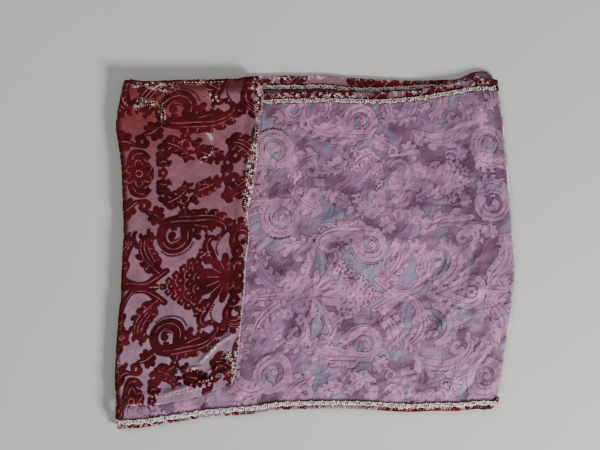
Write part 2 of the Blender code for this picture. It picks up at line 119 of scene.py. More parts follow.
flapBottom = [
    (-0.2176, -0.1875), (-0.2148, -0.1850), (-0.2112, -0.1778), (-0.2060, -0.1712), (-0.1986, -0.1700),
    (-0.1809, -0.1692), (-0.1678, -0.1686), (-0.1568, -0.1664), (-0.1436, -0.1637), (-0.1260, -0.1593),
    (-0.1084, -0.1527), (-0.0908, -0.1472),
]
flapTop = [
    (-0.2057, 0.1875), (-0.1809, 0.1850), (-0.1479, 0.1867), (-0.1128, 0.1867), (-0.0864, 0.1878),
    (-0.0688, 0.1873), (-0.0589, 0.1828),
]

# creases: from x, y to x, y, height (a trough is below 0) and half width
panelCreases = [
    (-0.0842, -0.0152, -0.0534, 0.0112, 0.0016, 0.0060), (0.1216, -0.1043, 0.1546, -0.0570, 0.0016, 0.0090),
    (0.1546, -0.0570, 0.1843, -0.0372, 0.0012, 0.0080), (0.0633, -0.0713, 0.0941, -0.0438, -0.0010, 0.0090),
    (0.0941, -0.0438, 0.1359, -0.0130, -0.0012, 0.0090), (0.0061, 0.0200, 0.0336, 0.0387, 0.0014, 0.0130),
    (0.1546, -0.1626, 0.1909, -0.1274, -0.0012, 0.0070), (-0.0325, 0.1212, 0.0336, 0.1410, -0.0010, 0.0120),
    (0.0666, 0.1091, 0.1381, 0.1023, -0.0008, 0.0080), (0.1381, 0.0519, 0.2096, 0.0552, 0.0008, 0.0080),
    (0.1051, -0.1538, 0.1711, -0.1373, 0.0010, 0.0110), (-0.0160, 0.0167, 0.0171, 0.0497, -0.0008, 0.0080),
]
flapCreases = [
    (-0.2030, 0.1835, -0.1300, 0.1835, 0.0012, 0.0060), (-0.1975, 0.1608, -0.1612, 0.1619, 0.0018, 0.0080),
    (-0.1667, 0.1640, -0.1634, 0.1380, 0.0012, 0.0060), (-0.1568, -0.1593, -0.1205, -0.1472, 0.0012, 0.0060),
    (-0.1205, -0.1472, -0.0908, -0.1175, 0.0014, 0.0070), (-0.1260, -0.1318, -0.0886, -0.0878, 0.0014, 0.0080),
    (-0.1100, 0.1780, -0.0700, 0.1650, 0.0010, 0.0080),
]
# finer creases, which the solids don't have
panelFineCreases = [
    (0.1546, -0.1640, 0.1740, -0.1450, -0.0007, 0.0022), (0.1740, -0.1450, 0.1777, -0.1300, -0.0007, 0.0022),
    (0.1777, -0.1300, 0.1909, -0.1110, -0.0006, 0.0022), (0.1260, -0.1020, 0.1500, -0.0640, 0.0007, 0.0028),
    (0.1500, -0.0640, 0.1840, -0.0400, 0.0006, 0.0026), (0.0336, -0.1043, 0.0700, -0.0760, -0.0006, 0.0026),
    (0.0700, -0.0760, 0.1100, -0.0420, -0.0006, 0.0026), (0.1100, -0.0420, 0.1400, -0.0180, -0.0005, 0.0024),
    (-0.0820, -0.0130, -0.0560, 0.0090, 0.0008, 0.0026), (0.0710, 0.1010, 0.1100, 0.1060, -0.0005, 0.0022),
    (0.1180, 0.0520, 0.1700, 0.0500, -0.0006, 0.0022), (0.1160, 0.0300, 0.1760, 0.0330, -0.0005, 0.0022),
    (0.0170, 0.1150, 0.0560, 0.0980, -0.0005, 0.0026), (-0.0400, 0.1330, 0.0110, 0.1200, -0.0005, 0.0030),
    (-0.0550, 0.0560, 0.0060, 0.0710, 0.0005, 0.0026), (0.0280, -0.0040, 0.0600, -0.0170, -0.0006, 0.0026),
    (-0.0100, -0.1260, 0.0500, -0.1340, 0.0005, 0.0030), (0.0550, -0.1440, 0.1200, -0.1330, -0.0005, 0.0026),
    (0.0900, -0.1600, 0.1450, -0.1530, 0.0006, 0.0026), (0.1650, -0.0900, 0.1980, -0.1000, 0.0005, 0.0026),
    (0.1750, 0.0900, 0.2060, 0.0980, -0.0005, 0.0024), (0.1450, 0.1350, 0.1980, 0.1480, 0.0005, 0.0028),
    (-0.0500, -0.0700, -0.0200, -0.0900, 0.0004, 0.0026), (0.0300, 0.0600, 0.0800, 0.0700, 0.0005, 0.0026),
]
flapFineCreases = [
    (-0.1250, -0.1220, -0.1040, -0.1010, 0.0012, 0.0015), (-0.1040, -0.1010, -0.0870, -0.0900, 0.0011, 0.0015),
    (-0.1500, -0.1320, -0.1240, -0.1275, 0.0011, 0.0015), (-0.1640, -0.1570, -0.1460, -0.1520, 0.0010, 0.0014),
    (-0.1460, -0.1520, -0.1300, -0.1450, 0.0011, 0.0014), (-0.1300, -0.1450, -0.1090, -0.1390, 0.0013, 0.0016),
    (-0.1090, -0.1390, -0.0900, -0.1310, 0.0010, 0.0015), (-0.2085, 0.1800, -0.1700, 0.1770, 0.0009, 0.0018),
    (-0.1320, -0.1500, -0.1120, -0.1440, 0.0009, 0.0014), (-0.1180, -0.1340, -0.0960, -0.1220, 0.0008, 0.0014),
    (-0.1700, 0.1770, -0.1320, 0.1700, 0.0008, 0.0017), (-0.1975, 0.1600, -0.1800, 0.1630, 0.0010, 0.0018),
    (-0.1800, 0.1630, -0.1640, 0.1590, 0.0010, 0.0018), (-0.1640, 0.1590, -0.1667, 0.1450, 0.0009, 0.0017),
    (-0.1040, 0.1270, -0.0850, 0.1120, 0.0006, 0.0020), (-0.1560, 0.1790, -0.1450, 0.1640, 0.0006, 0.0016),
    (-0.1100, 0.1760, -0.0900, 0.1640, 0.0006, 0.0018), (-0.0930, 0.1740, -0.0700, 0.1690, 0.0006, 0.0018),
]


# curves and surfaces


def smoothStep(share):
    share = np.clip(share, 0.0, 1.0)
    return share * share * (3.0 - 2.0 * share)


def smoothThrough(stations, values, at):
    stations, values = np.asarray(stations), np.asarray(values)
    slopes = np.gradient(values, stations)
    k = np.clip(np.searchsorted(stations, at) - 1, 0, len(stations) - 2)
    step = stations[k + 1] - stations[k]
    w = np.clip((at - stations[k]) / step, 0.0, 1.0)
    rise = values[k + 1] - values[k]
    bend = w * (1 - w) * ((1 - w) * (slopes[k] * step - rise) - w * (slopes[k + 1] * step - rise))
    return values[k] + rise * w + bend


def yAlong(edge, x):
    table = np.array(edge)
    return smoothThrough(table[:, 0], table[:, 1], np.asarray(x, float))


def xAlong(edge, y):
    table = np.array(edge)
    return smoothThrough(table[:, 1], table[:, 0], np.asarray(y, float))


def creaseHeight(x, y, creases):
    total = np.zeros_like(x)
    for x0, y0, x1, y1, height, halfWidth in creases:
        dx, dy = x1 - x0, y1 - y0
        along = np.clip(((x - x0) * dx + (y - y0) * dy) / (dx * dx + dy * dy), 0.0, 1.0)
        across = np.hypot(x - x0 - along * dx, y - y0 - along * dy)
        total += height * (0.35 + 0.65 * np.sin(np.pi * along)) * np.exp(-((across / halfWidth) ** 2))
    return total


def softNoise(x, y, sizeX, sizeY, seed):
    # smooth uneven field from -1 to 1, its bumps sizeX by sizeY
    lattice = np.random.default_rng(seed).uniform(-1, 1, (97, 97))
    gx, gy = x / sizeX + 40.0, y / sizeY + 40.0
    i, j = np.floor(gx).astype(int), np.floor(gy).astype(int)
    a, b = smoothStep(gx - i), smoothStep(gy - j)
    i, j = i % 96, j % 96
    low = lattice[i, j] * (1 - a) + lattice[i + 1, j] * a
    high = lattice[i, j + 1] * (1 - a) + lattice[i + 1, j + 1] * a
    return low * (1 - b) + high * b


def panelLift(x, y):
    fromTop, fromBottom = yAlong(panelTop, x) - y, y - yAlong(panelBottom, x)
    inward = smoothStep(np.minimum(fromTop, fromBottom) / 0.030)
    swell = 0.0008 * np.exp(-np.maximum(xAlong(rightFold, y) - x, 0.0) / 0.012)
    rolling = 0.0003 * np.sin(x / 0.021 + 2.0 * np.sin(y / 0.047)) * np.sin(y / 0.027 + 1.3)
    return np.maximum(inward * (0.0012 + creaseHeight(x, y, panelCreases) + rolling) + swell, 0.0)


def panelMiddle(x, y):
    return cloth["stackTop"] + cloth["gap"] + cloth["wall"] / 2 + panelLift(x, y)


def panelRipple(x, y):
    # crumpled sheer cloth: low winding ridges and a few fine creases
    shiftX = x + 0.022 * softNoise(x, y, 0.050, 0.050, 3)
    shiftY = y + 0.018 * softNoise(x, y, 0.045, 0.045, 4) - 0.5 * x
    ridges = 1 - 2 * np.abs(softNoise(shiftX, shiftY, 0.034, 0.020, 5))
    small = softNoise(shiftX + 0.6 * y, shiftY, 0.014, 0.011, 6)
    ripple = 0.00060 * ridges + 0.00030 * small + 2.0 * creaseHeight(x, y, panelFineCreases)
    fromTop, fromBottom = yAlong(panelTop, x) - y, y - yAlong(panelBottom, x)
    inward = smoothStep((np.minimum(fromTop, fromBottom) - 0.006) / 0.016)
    clearOfFlap = smoothStep((x - xAlong(flapEnd, np.clip(y, -0.147, 0.182)) - 0.001) / 0.010)
    belowFlap = yAlong(flapBottom, np.minimum(x, flapEnd[0][0])) - y
    clearOfFlap = np.maximum(clearOfFlap, smoothStep((belowFlap - 0.002) / 0.01))
    return ripple * inward * clearOfFlap


def flapSupport(x, y):
    panel = panelMiddle(x, y) + cloth["wall"] / 2
    hemLine = yAlong(panelTop, x)
    onHem = smoothStep((y - hemLine + 0.0124) / 0.008 + 1.5)
    high = panel + onHem * (cloth["gap"] + cloth["hemWall"])
    low = cloth["lowestTop"] + cloth["gap"] + cloth["hemWall"]
    return high + (low - high) * smoothStep((y - hemLine) / 0.008 - 0.4)


def flapMiddle(x, y):
    reach, support = 0.007, flapSupport(x, y)
    for stepX, stepY in ((reach, 0), (-reach, 0), (0, -reach), (reach, -reach), (-reach, -reach)):
        support = np.maximum(support, flapSupport(x + stepX, y + stepY))
    fromEnd = xAlong(flapEnd, y) - x
    nearest = np.minimum(np.minimum(fromEnd, yAlong(flapTop, x) - y), y - yAlong(flapBottom, x))
    overHem = (cloth["gap"] + cloth["hemWall"]) * (1 - smoothStep((nearest - 0.009) / 0.008))
    swell = 0.0012 * np.exp(-np.maximum(x - xAlong(leftFold, y), 0.0) / 0.018)
    ridges = np.maximum(creaseHeight(x, y, flapCreases), 0.0)
    return support + cloth["gap"] + 0.0002 + overHem + swell + ridges + cloth["wall"] / 2


def flapRipple(x, y):
    shiftX = x + 0.006 * softNoise(x, y, 0.035, 0.035, 13)
    ridges = np.maximum(softNoise(shiftX, y + 0.3 * x, 0.030, 0.018, 14), 0.0)
    fine = 2.0 * creaseHeight(x, y, flapFineCreases)
    lowered = 0.9 * creaseHeight(x, y, flapCreases[3:6])  # at the corner, where the fine ones take over
    return 0.00040 * ridges + fine - lowered


def hemSide(edge, start, end):
    def points(share):
        x = start + (end - start) * share
        return np.stack([x, yAlong(edge, x)], axis=-1)

    return points


def foldSide(edge, start, end, inset=0.0):
    def points(share):
        y = start + (end - start) * share
        return np.stack([xAlong(edge, y) + inset, y], axis=-1)

    return points


def patchPoints(sides, s, t):
    # a four-sided patch between its edges: bottom and top by s, first and last by t
    bottom, top, first, last = sides
    corner = {(a, b): (top if b else bottom)(np.array(float(a))) for a in (0, 1) for b in (0, 1)}
    sides = (1 - t)[..., None] * bottom(s) + t[..., None] * top(s)
    ends = (1 - s)[..., None] * first(t) + s[..., None] * last(t)
    s, t = s[..., None], t[..., None]
    near, away = ((1 - t) * corner[a, 0] + t * corner[a, 1] for a in (0, 1))
    return sides + ends - ((1 - s) * near + s * away)


def foldedSheet(sides, height, runLength, side, returnHeight):
    # a run of cloth, then a half-round fold at its far end and a short return under it
    def surface(u, v):
        u, v = np.broadcast_arrays(np.asarray(u, float), np.asarray(v, float))
        t = np.clip(v / cloth["width"], 0, 1)
        flat = patchPoints(sides, np.clip(u / runLength, 0, 1), t)
        x, y = flat[..., 0], flat[..., 1]
        z = height(x, y)
        radius = np.maximum((z - returnHeight) / 2, 0.0004)
        angle = np.clip((u - runLength) / radius, 0, np.pi)
        past = np.maximum(u - runLength - np.pi * radius, 0)
        x = x + side * (radius * np.sin(angle) - past)
        z = z - radius * (1 - np.cos(angle))
        return np.stack([x, y, z], axis=-1)

    return surface


def backNormal(surface, u, v, step=0.0006):
    along = surface(u + step, v) - surface(np.maximum(u - step, 0), v)
    across = surface(u, v + step) - surface(u, v - step)
    normal = np.cross(along, across)
    return normal / (np.linalg.norm(normal, axis=-1, keepdims=True) + 1e-12)


inset = cloth["panelFoldInset"]
startInset = inset + cloth["returnRun"] + cloth["gap"]
cornerOut = 0.0052


def panelStart(start, end):
    # the panel starts inside the flap's fold, but at the bottom corner it comes out to the edge
    def points(share):
        y = start + (end - start) * share
        inward = startInset - cornerOut * (1 - smoothStep((y + 0.1930) / 0.006))
        return np.stack([xAlong(leftFold, y) + inward, y], axis=-1)

    return points


def makePanel():
    x0, x1 = leftFold[0][0] + startInset - cornerOut, rightFold[0][0] - inset
    x2, x3 = leftFold[-1][0] + startInset, rightFold[-1][0] - inset
    sides = (
        hemSide(panelBottom, x0, x1),
        hemSide(panelTop, x2, x3),
        panelStart(float(yAlong(panelBottom, x0)), float(yAlong(panelTop, x2))),
        foldSide(rightFold, float(yAlong(panelBottom, x1)), float(yAlong(panelTop, x3)), -inset),
    )
    back = cloth["lowestTop"] + cloth["gap"] + cloth["wall"] / 2
    return foldedSheet(sides, lambda x, y: panelMiddle(x, y) + panelRipple(x, y), cloth["panelRun"], 1, back)


def makeFlap():
    x0, x1 = flapEnd[0][0], flapBottom[0][0] + inset
    x2, x3 = flapEnd[-1][0], flapTop[0][0] + inset
    sides = (
        hemSide(flapBottom, x0, x1),
        hemSide(flapTop, x2, x3),
        foldSide(flapEnd, flapEnd[0][1], flapEnd[-1][1]),
        foldSide(leftFold, float(yAlong(flapBottom, x1)), float(yAlong(flapTop, x3)), inset),
    )
    back = cloth["stackTop"] + cloth["gap"] + cloth["wall"] / 2
    return foldedSheet(sides, lambda x, y: flapMiddle(x, y) + flapRipple(x, y), cloth["flapRun"], -1, back)


def makeLowerRuns():
    # the second run goes left, folds round and comes back as the lowest one
    upper, lower, length = 0.0034, 0.0006, cloth["panelRun"]
    bend = 0.0026

    def run(topEdge, rightInset):
        x0, x1 = rightFold[0][0] - rightInset, lowerBottom[0][0] + bend
        x2, x3 = rightFold[-1][0] - rightInset, leftFold[-1][0] + bend
        return (
            hemSide(lowerBottom, x0, x1),
            hemSide(topEdge, x2, x3),
            foldSide(rightFold, float(yAlong(lowerBottom, x0)), float(yAlong(topEdge, x2)), -rightInset),
            foldSide(leftFold, float(yAlong(lowerBottom, x1)), float(yAlong(topEdge, x3)), bend),
        )

    second, lowest = run(secondTop, startInset), run(lowestTop, 0.0034)
    radius = (upper - lower) / 2

    def surface(u, v):
        u, v = np.broadcast_arrays(np.asarray(u, float), np.asarray(v, float))
        t = np.clip(v / cloth["width"], 0, 1)
        angle = np.clip((u - length) / radius, 0, np.pi)
        out = np.clip((u - length - np.pi * radius) / length, 0, 1)
        going = patchPoints(second, np.clip(u / length, 0, 1), t)
        coming = patchPoints(lowest, 1 - out, t)
        turned = angle[..., None] / np.pi
        flat = going * (1 - turned) + coming * turned
        nearHem = 0.0004 * (1 - smoothStep((np.minimum(t, 1 - t) * cloth["width"]) / 0.004)) * turned[..., 0]
        z = upper - radius * (1 - np.cos(angle)) + nearHem
        return np.stack([flat[..., 0] - radius * np.sin(angle), flat[..., 1], z], axis=-1)

    return surface, 2 * length + np.pi * radius


roll = (cloth["hemReach"] + cloth["hemFlush"]) / 2


def hemSurface(sheet, edge, width, start=0.0):
    # a turned hem: w runs from its raw edge, over the sheet's back, round the sheet's edge to its face
    lift = (cloth["hemReach"] - cloth["hemFlush"]) / 2
    top = edge == "top"

    def surface(u, w):
        u, w = np.broadcast_arrays(np.asarray(u, float), np.asarray(w, float))
        inward = np.maximum(width - w, 0) + np.maximum(w - width - np.pi * roll, 0)
        d = inward + roll + start
        angle = np.clip((w - width) / roll, 0, np.pi)
        if edge == "end":
            at = sheet(d, u)
            out = sheet(start, u) - sheet(start + 0.003, u)
            normal = backNormal(sheet, np.maximum(d, 0.001), u)
        else:
            v = cloth["width"] - d if top else d
            at = sheet(u, v)
            edgeV = cloth["width"] if top else 0.0
            out = sheet(u, np.full_like(u, edgeV)) - sheet(u, np.full_like(u, edgeV - 0.003 if top else 0.003))
            normal = backNormal(sheet, u, v)
        out = out / np.linalg.norm(out, axis=-1, keepdims=True)
        loose = 0.00025 * softNoise(u, w, 0.013, 0.009, 21) * smoothStep((width - w) / 0.004)
        reach = lift + roll * np.cos(angle) + np.where(w < width, np.abs(loose), 0)
        return at + normal * reach[..., None] + out * (roll * np.sin(angle))[..., None]

    return surface


panel = makePanel()
flap = makeFlap()
lowerRuns, lowerLength = makeLowerRuns()


# the damask, drawn as half of one repeat in millimetres: p along the scarf and q across it

damask = {
    "repeat": 330.0,
    "half": 123.0,  # the pattern is mirrored at q = 0 and at q = half
    "cell": 0.5,
    "far": 4.0,
    "firstAxis": 0.127,  # v of the palmettes' axis
    "flapStart": 0.031,  # from the scarf's end to the first palmette's centre
}
tileShape = (int(damask["repeat"] / damask["cell"]), int(damask["half"] / damask["cell"]) + 1)
pileTile = np.full(tileShape, damask["far"])
veinTile = np.full(tileShape, damask["far"])


def smoothRow(rows, steps=9):
    rows = np.array(rows, float)
    ends = np.vstack([2 * rows[0] - rows[1], rows, 2 * rows[-1] - rows[-2]])
    w = np.linspace(0, 1, steps, endpoint=False)[:, None]
    out = []
    for a, b, c, d in zip(ends, ends[1:], ends[2:], ends[3:]):
        squared, cubed = 2 * a - 5 * b + 4 * c - d, 3 * b - a - 3 * c + d
        out.append(0.5 * (2 * b + (c - a) * w + squared * w**2 + cubed * w**3))
    return np.vstack([*out, rows[-1:]])


def drawLine(field, line):
    # a line of round dabs: each row is p, q and radius
    line = np.atleast_2d(line)
    if len(line) == 1:
        line = np.vstack([line, line])
    cell, far, half = damask["cell"], damask["far"], damask["half"]
    reach = line[:, 2].max() + far
    for sign, shift in ((1, 0), (-1, 0), (-1, 2 * half)):
        q = line[:, 1] * sign + shift
        i = np.arange(int((line[:, 0].min() - reach) // cell), int((line[:, 0].max() + reach) // cell) + 2)
        lowest, highest = int((q.min() - reach) // cell), int((q.max() + reach) // cell) + 2
        j = np.arange(max(0, lowest), min(tileShape[1], highest))
        if len(j) == 0:
            continue
        gridP, gridQ = i[:, None] * cell, j[None] * cell
        best = np.full((len(i), len(j)), far)
        for k in range(len(line) - 1):
            p0, q0, r0 = line[k, 0], q[k], line[k, 2]
            dp, dq, dr = line[k + 1, 0] - p0, q[k + 1] - q0, line[k + 1, 2] - r0
            w = ((gridP - p0) * dp + (gridQ - q0) * dq) / max(dp * dp + dq * dq, 1e-9)
            w = np.clip(w, 0, 1)
            best = np.minimum(best, np.hypot(gridP - p0 - w * dp, gridQ - q0 - w * dq) - r0 - w * dr)
        window = np.ix_(i % tileShape[0], j)
        field[window] = np.minimum(field[window], best)


def stem(*rows):
    drawLine(pileTile, smoothRow(rows))


def vein(*rows):
    drawLine(veinTile, smoothRow([(p, q, 0) for p, q in rows], 6))


def disc(p, q, r):
    drawLine(pileTile, np.array([(p, q, r)], float))


def leaf(rows, lobes=5, reach=7.0, lean=0.6, sides=(1, -1), first=0.06, last=0.97):
    # a curved leaf with a lobed edge, a midrib and a vein between each two lobes
    body = smoothRow([(p, q, 0.88 * r) for p, q, r in rows])
    drawLine(pileTile, body)
    tangent = np.gradient(body[:, :2], axis=0)
    tangent /= np.linalg.norm(tangent, axis=1, keepdims=True) + 1e-9
    for side in sides:
        for k in range(lobes):
            share = first + (last - first) * k / max(lobes - 1, 1)
            at = int(round(share * (len(body) - 1)))
            t, root, r = tangent[at], body[at, :2], body[at, 2]
            n = side * np.array([-t[1], t[0]])
            size = 1.22 * reach * (1 - 0.42 * share)
            way = n * np.cos(lean) + t * np.sin(lean)
            wide = size * 0.43
            knee = root + n * r * 0.6 + way * size * 0.46
            tip = root + n * r * 0.6 + way * size * 0.74 + t * size * 0.30
            drawLine(pileTile, smoothRow([(*root, wide * 0.9), (*knee, wide), (*tip, wide * 0.66)], 5))
            if k and reach > 5.5:
                notch = root + n * (r * 0.9 + size * 0.30) - t * size * 0.50
                vein(notch + n * 1.2, notch - n * size * 0.10 + t * 0.2, notch - n * size * 0.34 + t * 1.2)
    middle = body[3:-5:5, :2]
    if len(middle) > 2:
        vein(*middle)
    if reach > 7:  # folds beside the midrib
        inner = slice(len(body) // 6, -len(body) // 4, 5)
        across = np.stack([-tangent[:, 1], tangent[:, 0]], axis=1) * body[:, 2:] * 0.62
        for side in sides:
            vein(*(body[:, :2] + side * across)[inner])


def curl(p, q, radius, start, turns, thick, inner=0.35, tip=0.5, ribbed=False):
    angle = np.radians(start) + np.linspace(0, 2 * np.pi * turns, max(8, int(14 * abs(turns))))
    share = np.linspace(0, 1, len(angle))
    r = radius * (1 - (1 - inner) * share)
    line = np.stack([p + r * np.cos(angle), q + r * np.sin(angle), thick * (1 - (1 - tip) * share)], axis=1)
    drawLine(pileTile, smoothRow(line, 3))
    if ribbed:
        vein(*line[1 : len(line) // 2 + 2, :2])


def ringVein(p, q, radius, start=0.0, turn=360.0):
    angle = np.radians(np.linspace(start, start + turn, 18))
    vein(*np.stack([p + radius * np.cos(angle), q + radius * np.sin(angle)], axis=1))


def scrollHeart(p, q, radius, start, hand):
    # a scroll's middle: a whorl that winds in to a bud, and two smaller buds in its bend
    curl(p, q, radius * 0.92, start, 0.62 * hand, radius * 0.20, 0.40, 1.3)
    for turn, out, size in ((223, 0.20, 0.36), (286, 0.68, 0.22), (312, 0.64, 0.17)):
        angle = np.radians(start + hand * turn)
        disc(p + radius * out * np.cos(angle), q + radius * out * np.sin(angle), radius * size)
    ringVein(p, q, radius * 0.66, start + hand * 24, hand * 120)


def blossom(p, q, radius, toward=0.0, petals=5):
    # a small round flower head: a rim line on the side that lies over its neighbour, and a light eye
    for k in range(petals):
        angle = np.radians(toward) + 2 * np.pi * k / petals
        disc(p + radius * 0.55 * np.cos(angle), q + radius * 0.55 * np.sin(angle), radius * 0.43)
    disc(p, q, radius * 0.62)
    ringVein(p, q, radius * 0.94, toward - 70, 120)
    ringVein(p, q, radius * 0.14)


def floret(p, q, radius, petals=6, turn=0.0):
    disc(p, q, radius * 0.6)
    for k in range(petals):
        angle = np.radians(turn) + 2 * np.pi * k / petals
        a, b = p + radius * 0.62 * np.cos(angle), q + radius * 0.62 * np.sin(angle)
        disc(a, b, radius * 0.42)
        if radius > 9:
            ringVein(a, b, radius * 0.40, np.degrees(angle) + 45, 70)
    ringVein(p, q, radius * 0.22, turn, 250)


def beads(rows, pitch=2.9, size=1.22):
    line = smoothRow([(p, q, 0) for p, q in rows])[:, :2]
    along = np.concatenate([[0], np.cumsum(np.hypot(*np.diff(line, axis=0).T))])
    for d in np.arange(0, along[-1], pitch):
        disc(np.interp(d, along, line[:, 0]), np.interp(d, along, line[:, 1]), size)


def sprig(p, q, turn, size=1.0, flip=1):
    # a bud of round leaves on a curled stalk
    c, s = np.cos(np.radians(turn)), np.sin(np.radians(turn))

    def at(a, b):
        return p + size * (a * c - flip * b * s), q + size * (a * s + flip * b * c)

    curl(*at(14, 5.4), 5.6 * size, turn - flip * 100, flip * 0.74, 2.2 * size, 0.66, 1.05)
    stem((*at(13, -0.2), 2.2 * size), (*at(8, -1), 2.6 * size), (*at(0, 0), 3.6 * size))
    for way, reach, r in ((70, 7.0, 3.1), (118, 8.0, 3.3), (165, 7.5, 3.2), (212, 8.6, 3.4), (258, 8.2, 3.2),
                          (300, 7.2, 2.9)):
        a, b = np.cos(np.radians(way)), np.sin(np.radians(way))
        stem((*at(0, 0), 3.4 * size), (*at(a * reach, b * reach), r * size))
    vein(at(9, -1), at(1, 0.2), at(-7, -1.4))


def drawPalmette():
    stem((8, 0, 8), (24, 0, 17), (36, 0, 14), (50, 0, 7), (60, 0, 3))
    for p, q, r in ((62, 0, 4.1), (55, 6, 4.6), (52, 0, 5.1), (47, 11, 5.6), (42, 5, 5.9), (39, 17, 6.1),
                    (32, 10, 6.3), (31, 23, 6.3), (23, 17, 6.6), (21, 28, 6.3), (31, 0, 6.7), (13, 29, 4.4),
                    (22, 6, 5.6)):
        blossom(p, q, r, np.degrees(np.arctan2(q, p - 2)))
    for turn, reach in ((0, 26), (24, 27), (50, 27), (78, 25), (108, 20)):  # the fan
        a, b = np.radians(turn), np.radians(turn + 12)
        c, s = np.cos(a), np.sin(a)
        stem(*[(-12 + d * c, d * s, r) for d, r in ((5, 3.0), (reach * 0.62, 5.4), (reach, 3.6))])
        vein(*[(-12 + d * np.cos(b), d * np.sin(b)) for d in (11, 17, reach * 0.95)])
    leaf([(6, 22, 5), (12, 31, 6.5), (16, 41, 5.4), (12, 48, 4.0), (5, 46, 2.6)], 4, 6, 0.5, (-1,))
    stem((-10, 8, 8), (-26, 8, 12), (-38, 8, 9))
    for p, q, r in ((-12, 8, 7.1), (-25, 0, 7.7), (-24, 14, 8.1), (-20, 28, 7.5), (-37, 7, 7.7), (-35, 21, 7.7)):
        blossom(p, q, r, np.degrees(np.arctan2(q, p + 2)), 6)
    curl(-24, 43, 11.5, -50, 0.86, 5.6, 0.42, 0.6, True)
    leaf([(-14, 50, 4), (-24, 56, 5), (-35, 54, 5), (-42, 45, 4)], 5, 7.5, 0.3, (-1,))
    beads([(2, 28), (5, 35), (3, 43), (-3, 50)])
    leaf([(-42, 6, 7), (-54, 13, 9), (-66, 26, 8), (-70, 39, 5.4), (-63, 46, 3)], 6, 8.5, 0.5)
    leaf([(-40, 0, 6), (-60, 0, 7), (-84, 0, 3.4)], 6, 9, 0.7)


def drawGreatScroll():
    curl(52, 55, 15.2, 140, 0.93, 5.4, 0.95, 0.95, True)
    scrollHeart(52, 55, 10.6, 150, 1)
    beads([(31, 45), (37, 37), (47, 33), (58, 33.5), (67, 39)])
    leaf([(60, 69, 6), (46, 70, 8), (30, 69, 9), (15, 69, 8.5), (2, 65, 7), (-5, 57, 5), (-1, 50, 3.2)],
         7, 9.6, 0.85, (-1,), 0.16, 0.86)
    leaf([(34, 66, 5), (20, 62, 5), (9, 60, 4)], 4, 5, -0.2, (1,))
    for p, q, r in ((31, 54, 3.6), (27, 58, 3.4), (26, 51, 3.6), (36, 53, 2.2)):
        disc(p, q, r)
    leaf([(70, 20, 4.5), (77, 28, 7), (84, 39, 8), (85, 50, 6), (78, 57, 3.6)], 6, 7.4, 0.35)
    # crossing stalks on the axis and the bud between them
    stem((58, 17, 3.4), (68, 11, 4.4), (80, 3, 4.2), (94, 3, 4.0), (104, 9, 5.2), (110, 19, 5.4))
    stem((82, 30, 6.0), (72, 20, 6.0), (64, 14, 4.5))
    for p, q, r in ((70, 0, 4.0), (75, 4, 3.2), (64.5, 0, 2.4), (79, 0, 2.6)):
        disc(p, q, r)
    vein((66, 0), (71, 0.4), (77, 0))
    vein((59, 16.6), (68, 10.6), (80, 4.4), (93, 4.2), (103, 9.4))
    vein((81, 28), (73, 20), (66, 14.6))
    leaf([(108, 18, 5.5), (114, 31, 8.5), (111, 44, 8.5), (103, 53, 5.4), (97, 54, 3)], 6, 8, 0.4)


def drawFlowers():
    floret(91, 123, 15.5, 6, 15)
    leaf([(98, 110, 5.5), (94, 103, 6.0), (86, 101, 4.4), (80, 105, 2.6)], 4, 4.6, 0.4, (-1,))
    blossom(66, 123, 6.2, 180)
    leaf([(70, 113, 3.4), (65, 110, 3.6), (59, 113, 2.4)], 3, 4.0, 0.4)
    curl(65, 98, 6.4, 60, 0.72, 4.6, 0.6, 0.65)
    leaf([(62, 90, 3.6), (54, 93, 4.4), (47, 97, 4.4), (41, 103, 3.4), (39, 109, 2.2)], 5, 6.6, 0.4)
    leaf([(52, 93, 3.6), (44, 89, 3.6), (38, 87, 2.4)], 3, 5, 0.4)
    sprig(73, 78, 25, 1.02)
    leaf([(30, 101, 4), (21, 104, 7.5), (12, 108, 7), (1, 112, 2.8)], 5, 6, 0.5)
    ringVein(21, 104, 4.6, 60, 110)
    disc(32, 93, 4.4)
    disc(28, 89, 3.0)
    leaf([(-2, 93, 4.6), (-13, 96, 7), (-23, 103, 7.5), (-29, 112, 5.4), (-25, 119, 3)], 6, 7.6, 0.4)
    curl(-9, 110, 7.4, -120, 0.8, 4.6, 0.5, 0.6)
    curl(-2, 121, 4.6, 0, 0.6, 3.4, 0.6, 0.6)
    # rosette beside the palmette's foot
    curl(-46, 86, 18, 100, 0.93, 5.6, 0.95, 0.95, True)
    scrollHeart(-46, 86, 13.0, 100, 1)
    beads([(-68, 74), (-61, 66), (-48, 62), (-36, 64)])
    leaf([(-58, 102, 5), (-72, 103, 8.5), (-85, 97, 8.5), (-92, 84, 7), (-89, 73, 4.4)], 7, 8, 0.3)
    sprig(-84, 58, 200, 1.1)
    leaf([(-62, 123, 6), (-76, 122, 7), (-90, 123, 4)], 4, 7, 0.4)


